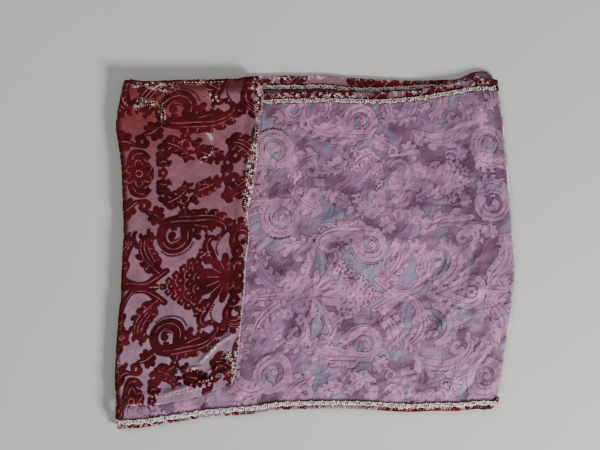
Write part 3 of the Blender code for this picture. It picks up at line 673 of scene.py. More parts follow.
def drawBands():
    leaf([(123, 12, 4), (134, 15, 7), (144, 26, 8.5), (146, 39, 8), (139, 50, 6), (130, 53, 4)], 7, 7, 0.3, (-1,))
    beads([(126, 24), (133, 31), (134, 40), (129, 47)])
    curl(124, 36, 7.4, 60, 0.8, 4.4, 0.5, 0.6)
    stem((118, 0, 4.4), (134, 3, 5.2), (150, 9, 6.4), (162, 13, 6.4), (172, 9, 5.6), (175, 0, 5.2))
    vein((124, 0), (138, 4.5), (152, 10), (163, 13), (171, 8))
    floret(163, 0, 6.6, 6, 0)
    leaf([(180, 0, 5), (194, 0, 7), (208, 0, 4.0)], 5, 8, 0.6)
    leaf([(183, 10, 5.5), (192, 18, 9), (201, 30, 9.5), (203, 43, 8), (196, 52, 4.4)], 7, 8, 0.35)
    leaf([(110, 68, 4), (123, 76, 7.5), (140, 80, 9), (155, 76, 8.5), (166, 67, 7), (169, 56, 5), (163, 50, 3.2)],
         7, 9.4, 0.8, (1,))
    curl(154, 58, 6.4, 30, 0.8, 3.8, 0.5, 0.6)
    floret(130, 123, 21, 8, 0)
    floret(130, 123, 9.4, 5, 15)
    for p, q, r in ((153, 111, 7.2), (152, 123, 7.2), (162, 117, 6), (146, 102, 6), (110, 106, 6), (107, 118, 6)):
        floret(p, q, r, 5, 0)
    curl(190, 92, 16, 150, 0.93, 5.2, 0.95, 0.95, True)
    scrollHeart(190, 92, 11.0, 150, 1)
    leaf([(176, 106, 5), (187, 112, 7.5), (201, 109, 7), (209, 98, 4.4)], 6, 7, 0.4)
    sprig(102, 88, 160, 1.05)
    sprig(184, 64, 80, 0.95)
    sprig(158, 98, 200, 0.8, -1)


drawPalmette()
drawGreatScroll()
drawFlowers()
drawBands()
print("damask drawn, pile covers", round(float((pileTile < 0).mean()), 2))


def readTile(tile, u, v):
    # the tile's value at u along the whole scarf and v across it, in millimetres
    cell, half = damask["cell"], damask["half"]
    p = (u - damask["flapStart"]) / mm % damask["repeat"] / cell
    q = (v - damask["firstAxis"]) / mm
    q = np.abs((q + half) % (2 * half) - half) / cell
    i, j = np.floor(p).astype(int), np.minimum(np.floor(q).astype(int), tileShape[1] - 2)
    a, b = p - i, q - j
    i, near = i % tileShape[0], (i + 1) % tileShape[0]
    low = tile[i, j] * (1 - a) + tile[near, j] * a
    high = tile[i, j + 1] * (1 - a) + tile[near, j + 1] * a
    return low * (1 - b) + high * b


# meshes


def meshFrom(name, points, faces, coords, attributes=(), faceMaterial=None):
    # faces is a list of arrays, each of faces with the same number of corners
    mesh = bpy.data.meshes.new(name)
    corners = np.concatenate([f.ravel() for f in faces])
    sizes = np.concatenate([np.full(len(f), f.shape[1]) for f in faces])
    mesh.vertices.add(len(points))
    mesh.vertices.foreach_set("co", np.ascontiguousarray(points, np.float32).ravel())
    mesh.loops.add(len(corners))
    mesh.loops.foreach_set("vertex_index", corners.astype(np.int32))
    mesh.polygons.add(len(sizes))
    mesh.polygons.foreach_set("loop_start", np.concatenate([[0], np.cumsum(sizes)[:-1]]).astype(np.int32))
    if faceMaterial is not None:
        mesh.polygons.foreach_set("material_index", faceMaterial.astype(np.int32))
    mesh.update(calc_edges=True)
    uvMap = mesh.uv_layers.new(name="cloth")
    uvMap.data.foreach_set("uv", coords[corners].astype(np.float32).ravel())
    for label, values in attributes:
        attribute = mesh.attributes.new(label, "FLOAT", "POINT")
        attribute.data.foreach_set("value", values.astype(np.float32))
    mesh.shade_smooth()
    return mesh


def placePiece(name, mesh, materials):
    piece = bpy.data.objects.new(name, mesh)
    bpy.context.scene.collection.objects.link(piece)
    for material in materials:
        piece.data.materials.append(material)
    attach(piece, "root")
    return piece


def shellMesh(name, surface, uLine, vLine, thickness, spot, glints=()):
    # a closed thin shell: its first side is the cloth's back, and its second the pile side
    u, v = np.meshgrid(uLine, vLine, indexing="ij")
    middle, normal = surface(u, v), backNormal(surface, u, v)
    back = (middle + normal * thickness / 2).reshape(-1, 3)
    face = (middle - normal * thickness / 2).reshape(-1, 3)
    rows, columns = u.shape
    index = np.arange(rows * columns).reshape(rows, columns)
    quads = np.stack([index[:-1, :-1], index[1:, :-1], index[1:, 1:], index[:-1, 1:]], axis=-1).reshape(-1, 4)
    count = rows * columns
    loop = np.concatenate([index[:, 0], index[-1, 1:], index[-2::-1, -1], index[0, -2:0:-1]])
    after = np.roll(loop, -1)
    wall = np.stack([loop, loop + count, after + count, after], axis=-1)
    faces = np.concatenate([quads, quads[:, ::-1] + count, wall])
    side = np.concatenate([np.zeros(len(quads)), np.ones(len(quads)), np.zeros(len(wall))])
    coords = np.stack(spot(u, v), axis=-1).reshape(-1, 2)
    coords = np.concatenate([coords, coords])
    points = np.concatenate([back, face])
    edge = readTile(pileTile, coords[:, 0], coords[:, 1])
    glint = creaseHeight(points[:, 0], points[:, 1], glints)
    return meshFrom(name, points, [faces], coords, [("edge", edge), ("glint", glint)], side)


marchingCases = {
    1: [(0, 4, 7)], 2: [(1, 5, 4)], 3: [(0, 1, 5, 7)], 4: [(2, 6, 5)], 5: [(0, 4, 7), (2, 6, 5)],
    6: [(1, 2, 6, 4)], 7: [(0, 1, 2, 6, 7)], 8: [(3, 7, 6)], 9: [(0, 4, 6, 3)], 10: [(1, 5, 4), (3, 7, 6)],
    11: [(0, 1, 5, 6, 3)], 12: [(2, 3, 7, 5)], 13: [(0, 4, 5, 2, 3)], 14: [(1, 2, 3, 7, 4)], 15: [(0, 1, 2, 3)],
}  # corners 0 to 3 round a cell, and 4 to 7 the crossings on its sides


def patternMesh(name, surface, uRange, vRange, spot, look, out, glints=(), fringe=0.0):
    # raised cloth wherever the damask has pile, with round shoulders, cut to the drawn outline
    spacing, height, shoulder = look["spacing"], look["height"], look["shoulder"]

    def fieldAt(u, v):
        field = readTile(pileTile, *spot(u, v))
        return np.minimum(field, (v - vRange[0] - fringe) / mm) if fringe else field

    def rimAt(u, v):
        return np.minimum(np.minimum(u - uRange[0], uRange[1] - u), np.minimum(v - vRange[0], vRange[1] - v)) / mm

    uLine = np.arange(uRange[0], uRange[1] + spacing, spacing)
    vLine = np.arange(vRange[0], vRange[1] + spacing, spacing)
    u, v = np.meshgrid(uLine, vLine, indexing="ij")
    field = np.maximum(fieldAt(u, v), 0.05 - rimAt(u, v))
    rows, columns = u.shape
    inside = field < 0
    corner = np.arange(rows * columns).reshape(rows, columns)
    alongU, alongV = (rows - 1) * columns, rows * (columns - 1)
    crossU = rows * columns + np.arange(alongU).reshape(rows - 1, columns)
    crossV = rows * columns + alongU + np.arange(alongV).reshape(rows, columns - 1)
    shareU = np.clip(field[:-1] / (field[:-1] - field[1:] + 1e-12), 0.02, 0.98)
    shareV = np.clip(field[:, :-1] / (field[:, :-1] - field[:, 1:] + 1e-12), 0.02, 0.98)
    allU = np.concatenate([u.ravel(), (u[:-1] + shareU * spacing).ravel(), u[:, :-1].ravel()])
    allV = np.concatenate([v.ravel(), v[:-1].ravel(), (v[:, :-1] + shareV * spacing).ravel()])
    local = [corner[:-1, :-1], corner[1:, :-1], corner[1:, 1:], corner[:-1, 1:],
             crossU[:, :-1], crossV[1:, :], crossU[:, 1:], crossV[:-1, :]]
    case = inside[:-1, :-1] + 2 * inside[1:, :-1] + 4 * inside[1:, 1:] + 8 * inside[:-1, 1:]
    bySize = {}
    for number, shapes in marchingCases.items():
        cells = case == number
        for corners in shapes:
            bySize.setdefault(len(corners), []).append(np.stack([local[c][cells] for c in corners], axis=-1))
    faces = [np.concatenate(group) for group in bySize.values()]
    used = np.unique(np.concatenate([f.ravel() for f in faces]))
    renumber = np.zeros(len(allU), int)
    renumber[used] = np.arange(len(used))
    faces = [renumber[f] if out > 0 else renumber[f][:, ::-1] for f in faces]
    u, v = allU[used], allV[used]
    depth = np.minimum(np.maximum(-fieldAt(u, v), 0), np.maximum(rimAt(u, v), 0))
    depth[used >= rows * columns] = 0
    line = readTile(veinTile, *spot(u, v))
    rise = height * np.sqrt(1 - (1 - np.minimum(depth / shoulder, 1)) ** 2)
    rise = rise - look["groove"] * np.exp(-((line / 0.7) ** 2)) * np.minimum(depth / shoulder, 1)
    normal = backNormal(surface, u, v)
    points = surface(u, v) + normal * (out * (look["base"] + rise))[:, None]
    coords = np.stack(spot(u, v), axis=-1)
    glint = creaseHeight(points[:, 0], points[:, 1], glints)
    return meshFrom(name, points, faces, coords, [("edge", -depth), ("vein", line), ("glint", glint)])


# materials


def feedSocket(tree, socket, value):
    if isinstance(value, bpy.types.NodeSocket):
        tree.links.new(value, socket)
    else:
        socket.default_value = value


def addNode(tree, kind, settings=None, **feeds):
    # a feed is called by its socket's name, or i0, i1 and so on by its place
    node = tree.nodes.new(kind)
    for key, value in (settings or {}).items():
        setattr(node, key, value)
    for key, value in feeds.items():
        socket = node.inputs[int(key[1:]) if key[1:].isdigit() else key.replace("_", " ")]
        feedSocket(tree, socket, value)
    return node


class Nodes:
    # a material's nodes, each made in one line and joined to what feeds it
    def __init__(self, name):
        self.material = bpy.data.materials.new(name)
        self.material.use_nodes = True
        self.tree = self.material.node_tree
        self.shader = self.tree.nodes["Principled BSDF"]

    def add(self, kind, settings=None, **feeds):
        return addNode(self.tree, kind, settings, **feeds)

    def feed(self, socket, value):
        feedSocket(self.tree, socket, value)

    def place(self):
        return self.add("ShaderNodeTexCoord").outputs["Object"]

    def noise(self, scale, detail=2.0, stretch=(1, 1, 1), rough=0.5, twist=0.0):
        moved = self.add("ShaderNodeMapping", None, Vector=self.place(), Scale=stretch)
        node = self.add("ShaderNodeTexNoise", None, Vector=moved.outputs[0], Scale=scale, Detail=detail,
                        Roughness=rough, Distortion=twist)
        return node.outputs["Fac"]

    def ridges(self, scale, detail, twist):
        # thin winding lines, high at 1
        off = self.math("ABSOLUTE", self.math("SUBTRACT", self.noise(scale, detail, (1, 1, 1), 0.5, twist), 0.5))
        return self.ramp(off, 0.16, 0.0)

    def ramp(self, value, low, high, toLow=0.0, toHigh=1.0):
        node = self.add("ShaderNodeMapRange", {"interpolation_type": "SMOOTHSTEP"}, Value=value)
        for key, number in zip(("From Min", "From Max", "To Min", "To Max"), (low, high, toLow, toHigh)):
            node.inputs[key].default_value = number
        return node.outputs["Result"]

    def math(self, operation, a, b=0.0):
        node = self.add("ShaderNodeMath", {"operation": operation}, i0=a, i1=b)
        return node.outputs[0]

    def times(self, *values):
        product = values[0]
        for value in values[1:]:
            product = self.math("MULTIPLY", product, value)
        return product

    def mix(self, share, a, b, blend="MIX"):
        node = self.add("ShaderNodeMix", {"data_type": "RGBA", "blend_type": blend}, i0=share, i6=a, i7=b)
        return node.outputs[2]

    def attribute(self, label):
        return self.add("ShaderNodeAttribute", {"attribute_name": label}).outputs["Fac"]

    def axis(self, name):
        return self.add("ShaderNodeSeparateXYZ", None, Vector=self.place()).outputs[name]

    def onCloth(self, name):
        # X is the length along the whole scarf, and Y across it
        where = self.add("ShaderNodeUVMap", {"uv_map": "cloth"}).outputs[0]
        return self.add("ShaderNodeSeparateXYZ", None, Vector=where).outputs[name]

    def specks(self):
        # painted highlights: pale specks of glint, in the places that the glint attribute marks
        fine = self.ramp(self.noise(720, 1.0), 0.585, 0.625)
        off = self.math("ABSOLUTE", self.math("SUBTRACT", self.noise(300, 1.0, (1, 1, 1), 0.5, 1.5), 0.5))
        patchy = self.ramp(self.noise(240, 2.0), 0.47, 0.58)
        marks = self.math("MAXIMUM", fine, self.ramp(off, 0.026, 0.010))
        shown = self.ramp(self.attribute("glint"), 0.05, 0.55)
        return self.math("MINIMUM", self.times(marks, patchy, shown), 1.0)

    def weave(self, pitch):
        # warp and weft of the sheer ground, along the cloth's own u and v
        where = self.add("ShaderNodeUVMap", {"uv_map": "cloth"}).outputs[0]
        threads = []
        for direction in ("X", "Y"):
            wave = self.add("ShaderNodeTexWave", {"bands_direction": direction}, Vector=where,
                            Scale=1 / pitch / 3.1416 * 1.57, Distortion=0.6, Detail=1.0)
            threads.append(wave.outputs["Fac"])
        return self.times(*threads)

    def bump(self, height, strength, distance, before=None):
        node = self.add("ShaderNodeBump", None, Height=height, Strength=strength, Distance=distance)
        if before is not None:
            self.feed(node.inputs["Normal"], before)
        return node.outputs["Normal"]

    def finish(self, colour, roughness, normal=None, sheen=0.0, sheenTint=(1, 1, 1, 1), sheenRoughness=0.5,
               specular=0.5):
        if normal is not None:
            self.feed(self.shader.inputs["Normal"], normal)
        for label, value in (("Base Color", colour), ("Roughness", roughness), ("Sheen Weight", sheen),
                             ("Sheen Tint", sheenTint), ("Sheen Roughness", sheenRoughness),
                             ("Specular IOR Level", specular)):
            self.feed(self.shader.inputs[label], value)
        return self.material


def colour(red, green, blue):
    # a colour from 0 to 255, as the light that it stands for
    values = np.array([red, green, blue]) / 255
    linear = np.where(values <= 0.04045, values / 12.92, ((values + 0.055) / 1.055) ** 2.4)
    return (*(float(x) for x in linear), 1.0)


finishes = {
    "pileDark": colour(44, 6, 11),
    "pileLight": colour(79, 15, 24),
    "pileBrown": colour(68, 14, 10),
    "pileEdge": colour(106, 44, 56),
    "pileVein": colour(160, 92, 106),
    "groundGrey": colour(140, 110, 129),
    "groundMauve": colour(128, 82, 96),
    "hemGrey": colour(124, 90, 105),
    "groundRed": colour(120, 47, 50),
    "darkRedAndPaintedShade": colour(66, 18, 16),
    "backMotif": colour(166, 120, 147),
    "paintedLightPale": colour(196, 154, 180),
    "backGround": colour(133, 103, 129),
    "backGroundBlue": colour(118, 119, 137),
    "backGroundDarkAndPaintedShade": colour(97, 64, 86),
    "backLine": colour(48, 18, 40),
    "paintedFoldHighlight": colour(232, 206, 220),
    "thread": colour(255, 248, 240),
    "threadShade": colour(120, 62, 66),
    "glint": colour(255, 244, 238),
}


# where the cloth changes tone, and where painted shade and painted highlight lie: from none to full, along x,
# along y, or along the cloth's own u or v
zones = {
    "brownY": (0.160, 0.180), "brownX": (-0.040, -0.060),  # pile at the flap's top
    "darkEndX": (0.188, 0.197),
    "mauveY": (-0.150, 0.080),
    "redY": (0.065, 0.155), "redX": (-0.085, -0.165),
    "topY": (0.1680, 0.1800), "topX": (-0.060, -0.080),
    "hemX": (-0.070, -0.050),  # everything right of the flap
    "leftFoldIn": (0.1325, 0.1368), "leftFoldOut": (0.1478, 0.1468),
    # painted highlight along the right fold's edge
    "rightFoldHighlightIn": (0.5682, 0.5698), "rightFoldHighlightOut": (0.5722, 0.5712),
    # painted shade under the overlock rows, partly the pile's dark raw edge
    "topRawEdge": (0.3586, 0.3598), "bottomRawEdge": (-0.0057, -0.0064),
}
weavePitch = 0.0007


def crinkle(n):
    # the fine crumple of the sheer cloth, in relief
    broad = n.noise(58, 3.0, (1, 1, 1), 0.5, 0.8)
    creases = n.times(n.ridges(30, 2.0, 1.4), 0.16)
    fine = n.times(n.noise(260, 2.0, (1, 1, 1), 0.6, 0.5), 0.17)
    return n.math("ADD", n.math("ADD", broad, creases), fine)


def shaded(n, tone, shade):
    grey = n.add("ShaderNodeCombineColor", None, i0=shade, i1=shade, i2=shade).outputs[0]
    return n.mix(1.0, tone, grey, "MULTIPLY")


def nearLeftFold(n):
    along = n.onCloth("X")
    return n.times(n.ramp(along, *zones["leftFoldIn"]), n.ramp(along, *zones["leftFoldOut"]))


def velvetMaterial():
    n = Nodes("velvetPile")
    nap = n.ramp(n.noise(42, 3.0, (1, 1.4, 1)), 0.35, 0.68)
    tone = n.mix(nap, finishes["pileDark"], finishes["pileLight"])
    brown = n.times(n.ramp(n.axis("Y"), *zones["brownY"]), 0.7, n.ramp(n.axis("X"), *zones["brownX"]))
    brown = n.math("MAXIMUM", nearLeftFold(n), brown)
    tone = n.mix(n.times(brown, 0.8), tone, finishes["pileBrown"])
    tone = n.mix(n.ramp(n.axis("X"), *zones["darkEndX"], 0.0, 0.8), tone, finishes["pileDark"])
    tone = n.mix(n.ramp(n.noise(2400, 2.0), 0.3, 0.75, 0.0, 0.35), tone, finishes["pileLight"])
    rim = n.times(n.ramp(n.attribute("edge"), -0.60, -0.05), 0.32)
    tone = n.mix(rim, tone, finishes["pileEdge"])
    line = n.ramp(n.attribute("vein"), 0.66, 0.20)
    broken = n.ramp(n.noise(140, 2.0), 0.36, 0.58, 0.15, 0.9)
    tone = n.mix(n.times(line, broken), tone, finishes["pileVein"])
    # painted highlight: pale glint specks where the glint attribute marks
    tone = n.mix(n.specks(), tone, finishes["glint"])
    brushed = n.noise(620, 3.0, (1, 0.45, 1))
    normal = n.bump(brushed, 0.55, 0.0006, n.bump(crinkle(n), 0.35, 0.0012))
    return n.finish(tone, 0.72, normal, 0.22, (0.55, 0.06, 0.10, 1), 0.36, 0.07)


def groundMaterial():
    # the sheer ground seen on the pile side
    n = Nodes("sheerGround")
    mauve = n.ramp(n.axis("Y"), *zones["mauveY"])
    tone = n.mix(mauve, finishes["groundGrey"], finishes["groundMauve"])
    red = n.times(n.ramp(n.axis("Y"), *zones["redY"]), n.ramp(n.axis("X"), *zones["redX"]), 0.95)
    tone = n.mix(red, tone, finishes["groundRed"])
    # painted shade, partly the pile side seen edge-on: darker red near the flap's left fold
    tone = n.mix(n.times(nearLeftFold(n), 0.9), tone, finishes["darkRedAndPaintedShade"])
    top = n.times(n.ramp(n.axis("Y"), *zones["topY"]), n.ramp(n.axis("X"), *zones["topX"]), 0.85)
    tone = n.mix(top, tone, finishes["darkRedAndPaintedShade"])
    tone = n.mix(n.ramp(n.axis("X"), *zones["hemX"], 0.0, 0.9), tone, finishes["hemGrey"])
    # painted shade under and between the overlock stitches, partly the pile's dark raw edge: darker red near the
    # hems' raw edges
    across = n.onCloth("Y")
    rawEdges = [n.ramp(across, *zones[edge]) for edge in ("topRawEdge", "bottomRawEdge")]
    tone = n.mix(n.times(n.math("ADD", *rawEdges), 0.85), tone, finishes["darkRedAndPaintedShade"])  # under the overlock
    cloud = n.ramp(n.noise(55, 3.0), 0.3, 0.7, 0.84, 1.12)
    streaks = n.ramp(n.noise(900, 2.0, (0.25, 1.0, 1.0)), 0.25, 0.75, 0.93, 1.07)
    weave = n.ramp(n.weave(weavePitch), 0.0, 1.0, 0.93, 1.05)
    tone = shaded(n, tone, n.times(cloud, streaks, weave))
    # painted highlight: pale glint specks where the glint attribute marks
    tone = n.mix(n.specks(), tone, finishes["glint"])
    normal = n.bump(n.weave(weavePitch), 0.25, 0.0002, n.bump(crinkle(n), 0.6, 0.0020))
    return n.finish(tone, 0.75, normal, 0.06, (0.95, 0.80, 0.90, 1), 0.4, 0.12)


def backMaterial(name, pale, dark, lined):
    # the cloth's back: the same pattern, pale, with thin dark outlines where the pile stops behind it, partly
    # painted shade along the motifs' edges
    n = Nodes(name)
    lean = n.math("ADD", n.times(n.axis("Y"), 0.26), n.times(n.axis("X"), -0.26))
    cloud = n.ramp(n.math("ADD", n.noise(26, 2.0, (1, 1, 1), 0.5, 0.6), lean), 0.32, 0.58)
    tone = n.mix(cloud, dark, pale)
    if not lined:
        tone = n.mix(n.ramp(n.noise(24, 2.0), 0.48, 0.66, 0.0, 0.75), tone, finishes["backGroundBlue"])
    # painted light and shade: darker towards the top left and paler towards the bottom right, as the light falls
    # from the bottom right
    corner = n.math("ADD", n.times(n.axis("X"), 0.8), n.times(n.axis("Y"), -1.0))  # high at the bottom right
    tone = n.mix(n.ramp(corner, -0.22, 0.10, 0.20, 0.0), tone, finishes["backGroundDarkAndPaintedShade"])
    tone = n.mix(n.ramp(corner, 0.10, 0.30, 0.0, 0.10), tone, finishes["paintedLightPale"])
    if lined:
        # painted shade in part: the dark outlines along the motifs' edges
        edge = n.attribute("edge")
        outline = n.ramp(edge, -1.25, -0.35)
        inner = n.ramp(n.math("ABSOLUTE", n.math("ADD", edge, 3.1)), 0.62, 0.20, 0.0, 0.5)
        line = n.ramp(n.attribute("vein"), 0.85, 0.25, 0.0, 0.9)
        some = n.ramp(n.noise(30, 1.0), 0.52, 0.60)
        uneven = n.ramp(n.noise(46, 2.0), 0.34, 0.58, 0.34, 1.0)
        lines = n.math("MAXIMUM", n.math("MAXIMUM", outline, line), n.times(inner, some))
        tone = n.mix(n.times(lines, uneven, 0.92), tone, finishes["backLine"])
    rubbed = n.ramp(n.noise(32, 2.0, (1, 1, 1), 0.5, 1.0), 0.32, 0.68, 0.81, 1.22)
    weave = n.ramp(n.weave(weavePitch), 0.0, 1.0, 0.95, 1.04)
    tone = shaded(n, tone, n.times(rubbed, weave))
    # painted highlight: a pale line in patches along the right fold's edge
    along = n.onCloth("X")
    foldHighlight = n.times(n.ramp(along, *zones["rightFoldHighlightIn"]), n.ramp(along, *zones["rightFoldHighlightOut"]))
    bright = n.ramp(n.noise(34, 2.0), 0.40, 0.60, 0.10, 0.70)
    tone = n.mix(n.times(foldHighlight, bright), tone, finishes["paintedFoldHighlight"])
    normal = n.bump(n.weave(weavePitch), 0.2, 0.0002, n.bump(crinkle(n), 0.75, 0.0042))
    return n.finish(tone, 0.75, normal, 0.07, (0.95, 0.84, 0.95, 1), 0.4, 0.12)


def threadMaterial(name, bare, shade):
    # white thread with darker places, more of them where bare is low
    n = Nodes(name)
    tone = n.mix(n.ramp(n.noise(560, 2.0), bare, bare + 0.08, 0.0, 0.9), finishes["thread"], shade)
    twist = n.noise(2600, 1.0, (1, 1, 1))
    return n.finish(tone, 0.38, n.bump(twist, 0.4, 0.0002), 0.3, (1, 1, 1, 1), 0.3, 0.7)


velvet = velvetMaterial()
ground = groundMaterial()
backGround = backMaterial("backGround", finishes["backGround"], finishes["backGroundDarkAndPaintedShade"], False)
backMotif = backMaterial("backMotif", finishes["backMotif"], finishes["backGround"], True)
whiteThread = threadMaterial("whiteThread", 0.53, finishes["threadShade"])
speckledThread = threadMaterial("speckledThread", 0.50, finishes["pileLight"])
print("materials made")


# pieces

foldU = cloth["flapRun"]
vInner = (roll, cloth["width"] - roll)
flapPiece = {
    "ground": 0.0011,  # spacing of the ground's points
    "hem": 0.0090,
    "pile": {"spacing": 0.0007, "height": 0.0008, "shoulder": 0.9, "base": 0.00042, "groove": 0.00035},
    # places with painted glints, pale specks of painted highlight: from x, y to x, y, strength and half width
    "glints": [
        (-0.0600, 0.1800, -0.0640, 0.1300, 0.50, 0.0040), (-0.0640, 0.1300, -0.0685, 0.0900, 0.80, 0.0042),
        (-0.0680, 0.1000, -0.0725, 0.0560, 1.30, 0.0042), (-0.0710, 0.0600, -0.0745, 0.0300, 0.70, 0.0032),
        (-0.0735, 0.0300, -0.0780, -0.0440, 0.50, 0.0016), (-0.0780, -0.0440, -0.0845, -0.1000, 0.55, 0.0018),
        (-0.0845, -0.1000, -0.0905, -0.1450, 0.60, 0.0020), (-0.0690, 0.1860, -0.0620, 0.1740, 0.90, 0.0050),
        (-0.2080, 0.1780, -0.1850, 0.1815, 0.45, 0.0040), (-0.1850, 0.1815, -0.1500, 0.1770, 0.65, 0.0048),
        (-0.1500, 0.1840, -0.1100, 0.1850, 0.35, 0.0040), (-0.1960, 0.1560, -0.1900, 0.1640, 0.85, 0.0034),
        (-0.1900, 0.1640, -0.1700, 0.1590, 0.55, 0.0034), (-0.1680, 0.1560, -0.1660, 0.1420, 0.95, 0.0036),
        (-0.1180, 0.1720, -0.1060, 0.1640, 0.80, 0.0040), (-0.1180, 0.1280, -0.1130, 0.1200, 0.80, 0.0034),
        (-0.1250, 0.0960, -0.1100, 0.1080, 0.70, 0.0030), (-0.1250, -0.1230, -0.1040, -0.1010, 0.75, 0.0016),
        (-0.1500, -0.1330, -0.1240, -0.1285, 0.75, 0.0018), (-0.1300, -0.1460, -0.0920, -0.1320, 0.50, 0.0022),
        (-0.2080, -0.1700, -0.1640, -0.1690, 0.55, 0.0022), (-0.2150, -0.1400, -0.2165, -0.1120, 0.45, 0.0020),
        (-0.1010, -0.1000, -0.0880, -0.0900, 0.60, 0.0018), (-0.0960, -0.1080, -0.0900, -0.1240, 0.60, 0.0050),
    ],
}
panelPiece = {
    "ground": 0.0018,
    "topHem": 0.0120,
    "bottomHem": 0.0085,
    "flapEdge": 0.105,  # u from where the panel shows
    "foldEnd": 0.4265,  # u where the sheet, its motifs and its hems end in the right fold
    "motifEnd": 0.4225,
    "hemEnd": 0.4245,
    "motif": {"spacing": 0.00104, "height": 0.00024, "shoulder": 1.2, "base": 0.00045, "groove": 0.00012},
    "hemPile": {"spacing": 0.0008, "height": 0.0005, "shoulder": 0.8, "base": 0.0002, "groove": 0.0001},
    "fringe": 0.0056,
}
# places on the hems with painted glints, pale specks of painted highlight: from x, y to x, y, strength and half
# width
topGlints = [
    (-0.0700, 0.1900, 0.0300, 0.1915, 1.00, 0.0028), (0.0300, 0.1900, 0.1250, 0.1865, 0.70, 0.0026),
    (-0.0760, 0.1850, -0.0300, 0.1850, 0.55, 0.0030), (-0.0540, 0.1700, 0.0600, 0.1690, 0.65, 0.0036),
    (0.0600, 0.1720, 0.1200, 0.1740, 0.60, 0.0030), (0.1200, 0.1790, 0.1960, 0.1850, 0.55, 0.0040),
    (0.1600, 0.1880, 0.1960, 0.1900, 0.60, 0.0030),
]
# the same for the bottom hem's painted glints
bottomGlints = [
    (-0.2150, -0.1930, -0.1500, -0.1860, 0.80, 0.0040), (-0.1500, -0.1850, -0.0700, -0.1780, 0.60, 0.0034),
    (-0.0700, -0.1760, 0.0600, -0.1720, 0.45, 0.0030), (0.0600, -0.1740, 0.2000, -0.1700, 0.55, 0.0030),
]


def flapSpot(u, v):
    return u, v


def panelSpot(u, v):
    return u + foldU + 0.011, v


def lowerSpot(u, v):
    return u + 0.60, v


def outwardNormals(mesh):
    bm = bmesh.new()
    bm.from_mesh(mesh)
    bmesh.ops.recalc_face_normals(bm, faces=bm.faces)
    bm.to_mesh(mesh)
    bm.free()


def makeHem(name, sheet, edge, uRange, width, spot, faceSide, glints=(), shownFrom=0.0, fringe=0.0, start=0.0):
    surface = hemSurface(sheet, edge, width, start)
    rollEnd = width + np.pi * roll
    wLine = [np.linspace(0, width, 9), width + np.linspace(0.1, 1, 8) * np.pi * roll, [rollEnd + 0.0010]]

    def hemSpot(u, w):
        across = w - rollEnd + roll + start
        if edge == "end":
            return spot(across, u)
        return spot(u, cloth["width"] - across if edge == "top" else across)

    uLine = np.arange(uRange[0], uRange[1], 0.0022)
    mesh = shellMesh(name, surface, uLine, np.concatenate(wLine), cloth["hemShell"], hemSpot, glints)
    outwardNormals(mesh)
    strip = placePiece(name, mesh, [ground, ground])
    patch = patternMesh(name + "Pile", surface, uRange, (shownFrom + 0.0003, rollEnd + 0.0004), hemSpot,
                        panelPiece["hemPile"], faceSide, glints, fringe)
    return surface, [strip, placePiece(name + "Pile", patch, [velvet])]


def makeFlapPieces():
    uLine = np.concatenate([np.arange(roll, foldU, flapPiece["ground"]), np.linspace(foldU, foldU + 0.0075, 14)])
    vLine = np.linspace(*vInner, int(cloth["width"] / flapPiece["ground"]))
    mesh = shellMesh("endFlap", flap, uLine, vLine, cloth["shell"], flapSpot, flapPiece["glints"])
    piece = placePiece("endFlap", mesh, [backGround, ground])
    pile = patternMesh("endFlapPile", flap, (roll, foldU + 0.0052), vInner, flapSpot, flapPiece["pile"], -1,
                       flapPiece["glints"])
    pilePiece = placePiece("endFlapPile", pile, [velvet])
    hems = []
    width = flapPiece["hem"]
    for label, edge, length, side in (("endFlapEndHem", "end", cloth["width"], -1),
                                      ("endFlapTopHem", "top", foldU - 0.001, 1),
                                      ("endFlapBottomHem", "bottom", foldU - 0.001, -1)):
        ends = (0.0005, length - 0.0005)
        hems.append(makeHem(label, flap, edge, ends, width, flapSpot, side, flapPiece["glints"], width)[1])
    return piece, pilePiece, hems


def makePanelPieces():
    hidden = np.arange(0.0, panelPiece["flapEdge"], 0.006)
    shown = np.arange(panelPiece["flapEdge"], cloth["panelRun"], panelPiece["ground"])
    uLine = np.concatenate([hidden, shown, np.linspace(cloth["panelRun"], panelPiece["foldEnd"], 12)])
    vLine = np.linspace(*vInner, int(cloth["width"] / panelPiece["ground"]))
    mesh = shellMesh("mainPanel", panel, uLine, vLine, cloth["shell"], panelSpot)
    piece = placePiece("mainPanel", mesh, [backGround, velvet])
    run, across = (0.0002, panelPiece["motifEnd"]), (0.003, cloth["width"] - 0.003)
    motif = patternMesh("mainPanelMotifs", panel, run, across, panelSpot, panelPiece["motif"], 1)
    return piece, placePiece("mainPanelMotifs", motif, [backMotif])


flapCloth, flapPile, flapHems = makeFlapPieces()
print("end flap made")
panelCloth, panelMotifs = makePanelPieces()
print("main panel made")
topHemSurface, topHem = makeHem(
    "panelTopHem", panel, "top", (panelPiece["flapEdge"], panelPiece["hemEnd"]), panelPiece["topHem"],
    panelSpot, 1, topGlints, 0.0, panelPiece["fringe"])
bottomHemSurface, bottomHem = makeHem(
    "panelBottomHem", panel, "bottom", (0.0003, panelPiece["hemEnd"]), panelPiece["bottomHem"],
    panelSpot, -1, bottomGlints, 0.0, panelPiece["fringe"])

lowerPiece = {
    "spacing": 0.0040,
    "pile": {"spacing": 0.0009, "height": 0.0006, "shoulder": 0.9, "base": 0.00042, "groove": 0.0002},
    "underPile": {"spacing": 0.0020, "height": 0.00008, "shoulder": 1.2, "base": 0.00047, "groove": 0.0},
    "secondHem": 0.006,
    "secondEnd": 0.300,  # u where the second run's band and hem end
    "band": 0.026,
    "lowestHem": 0.0140,
    "lowestShown": 0.335,  # length of the lowest run's hem
}


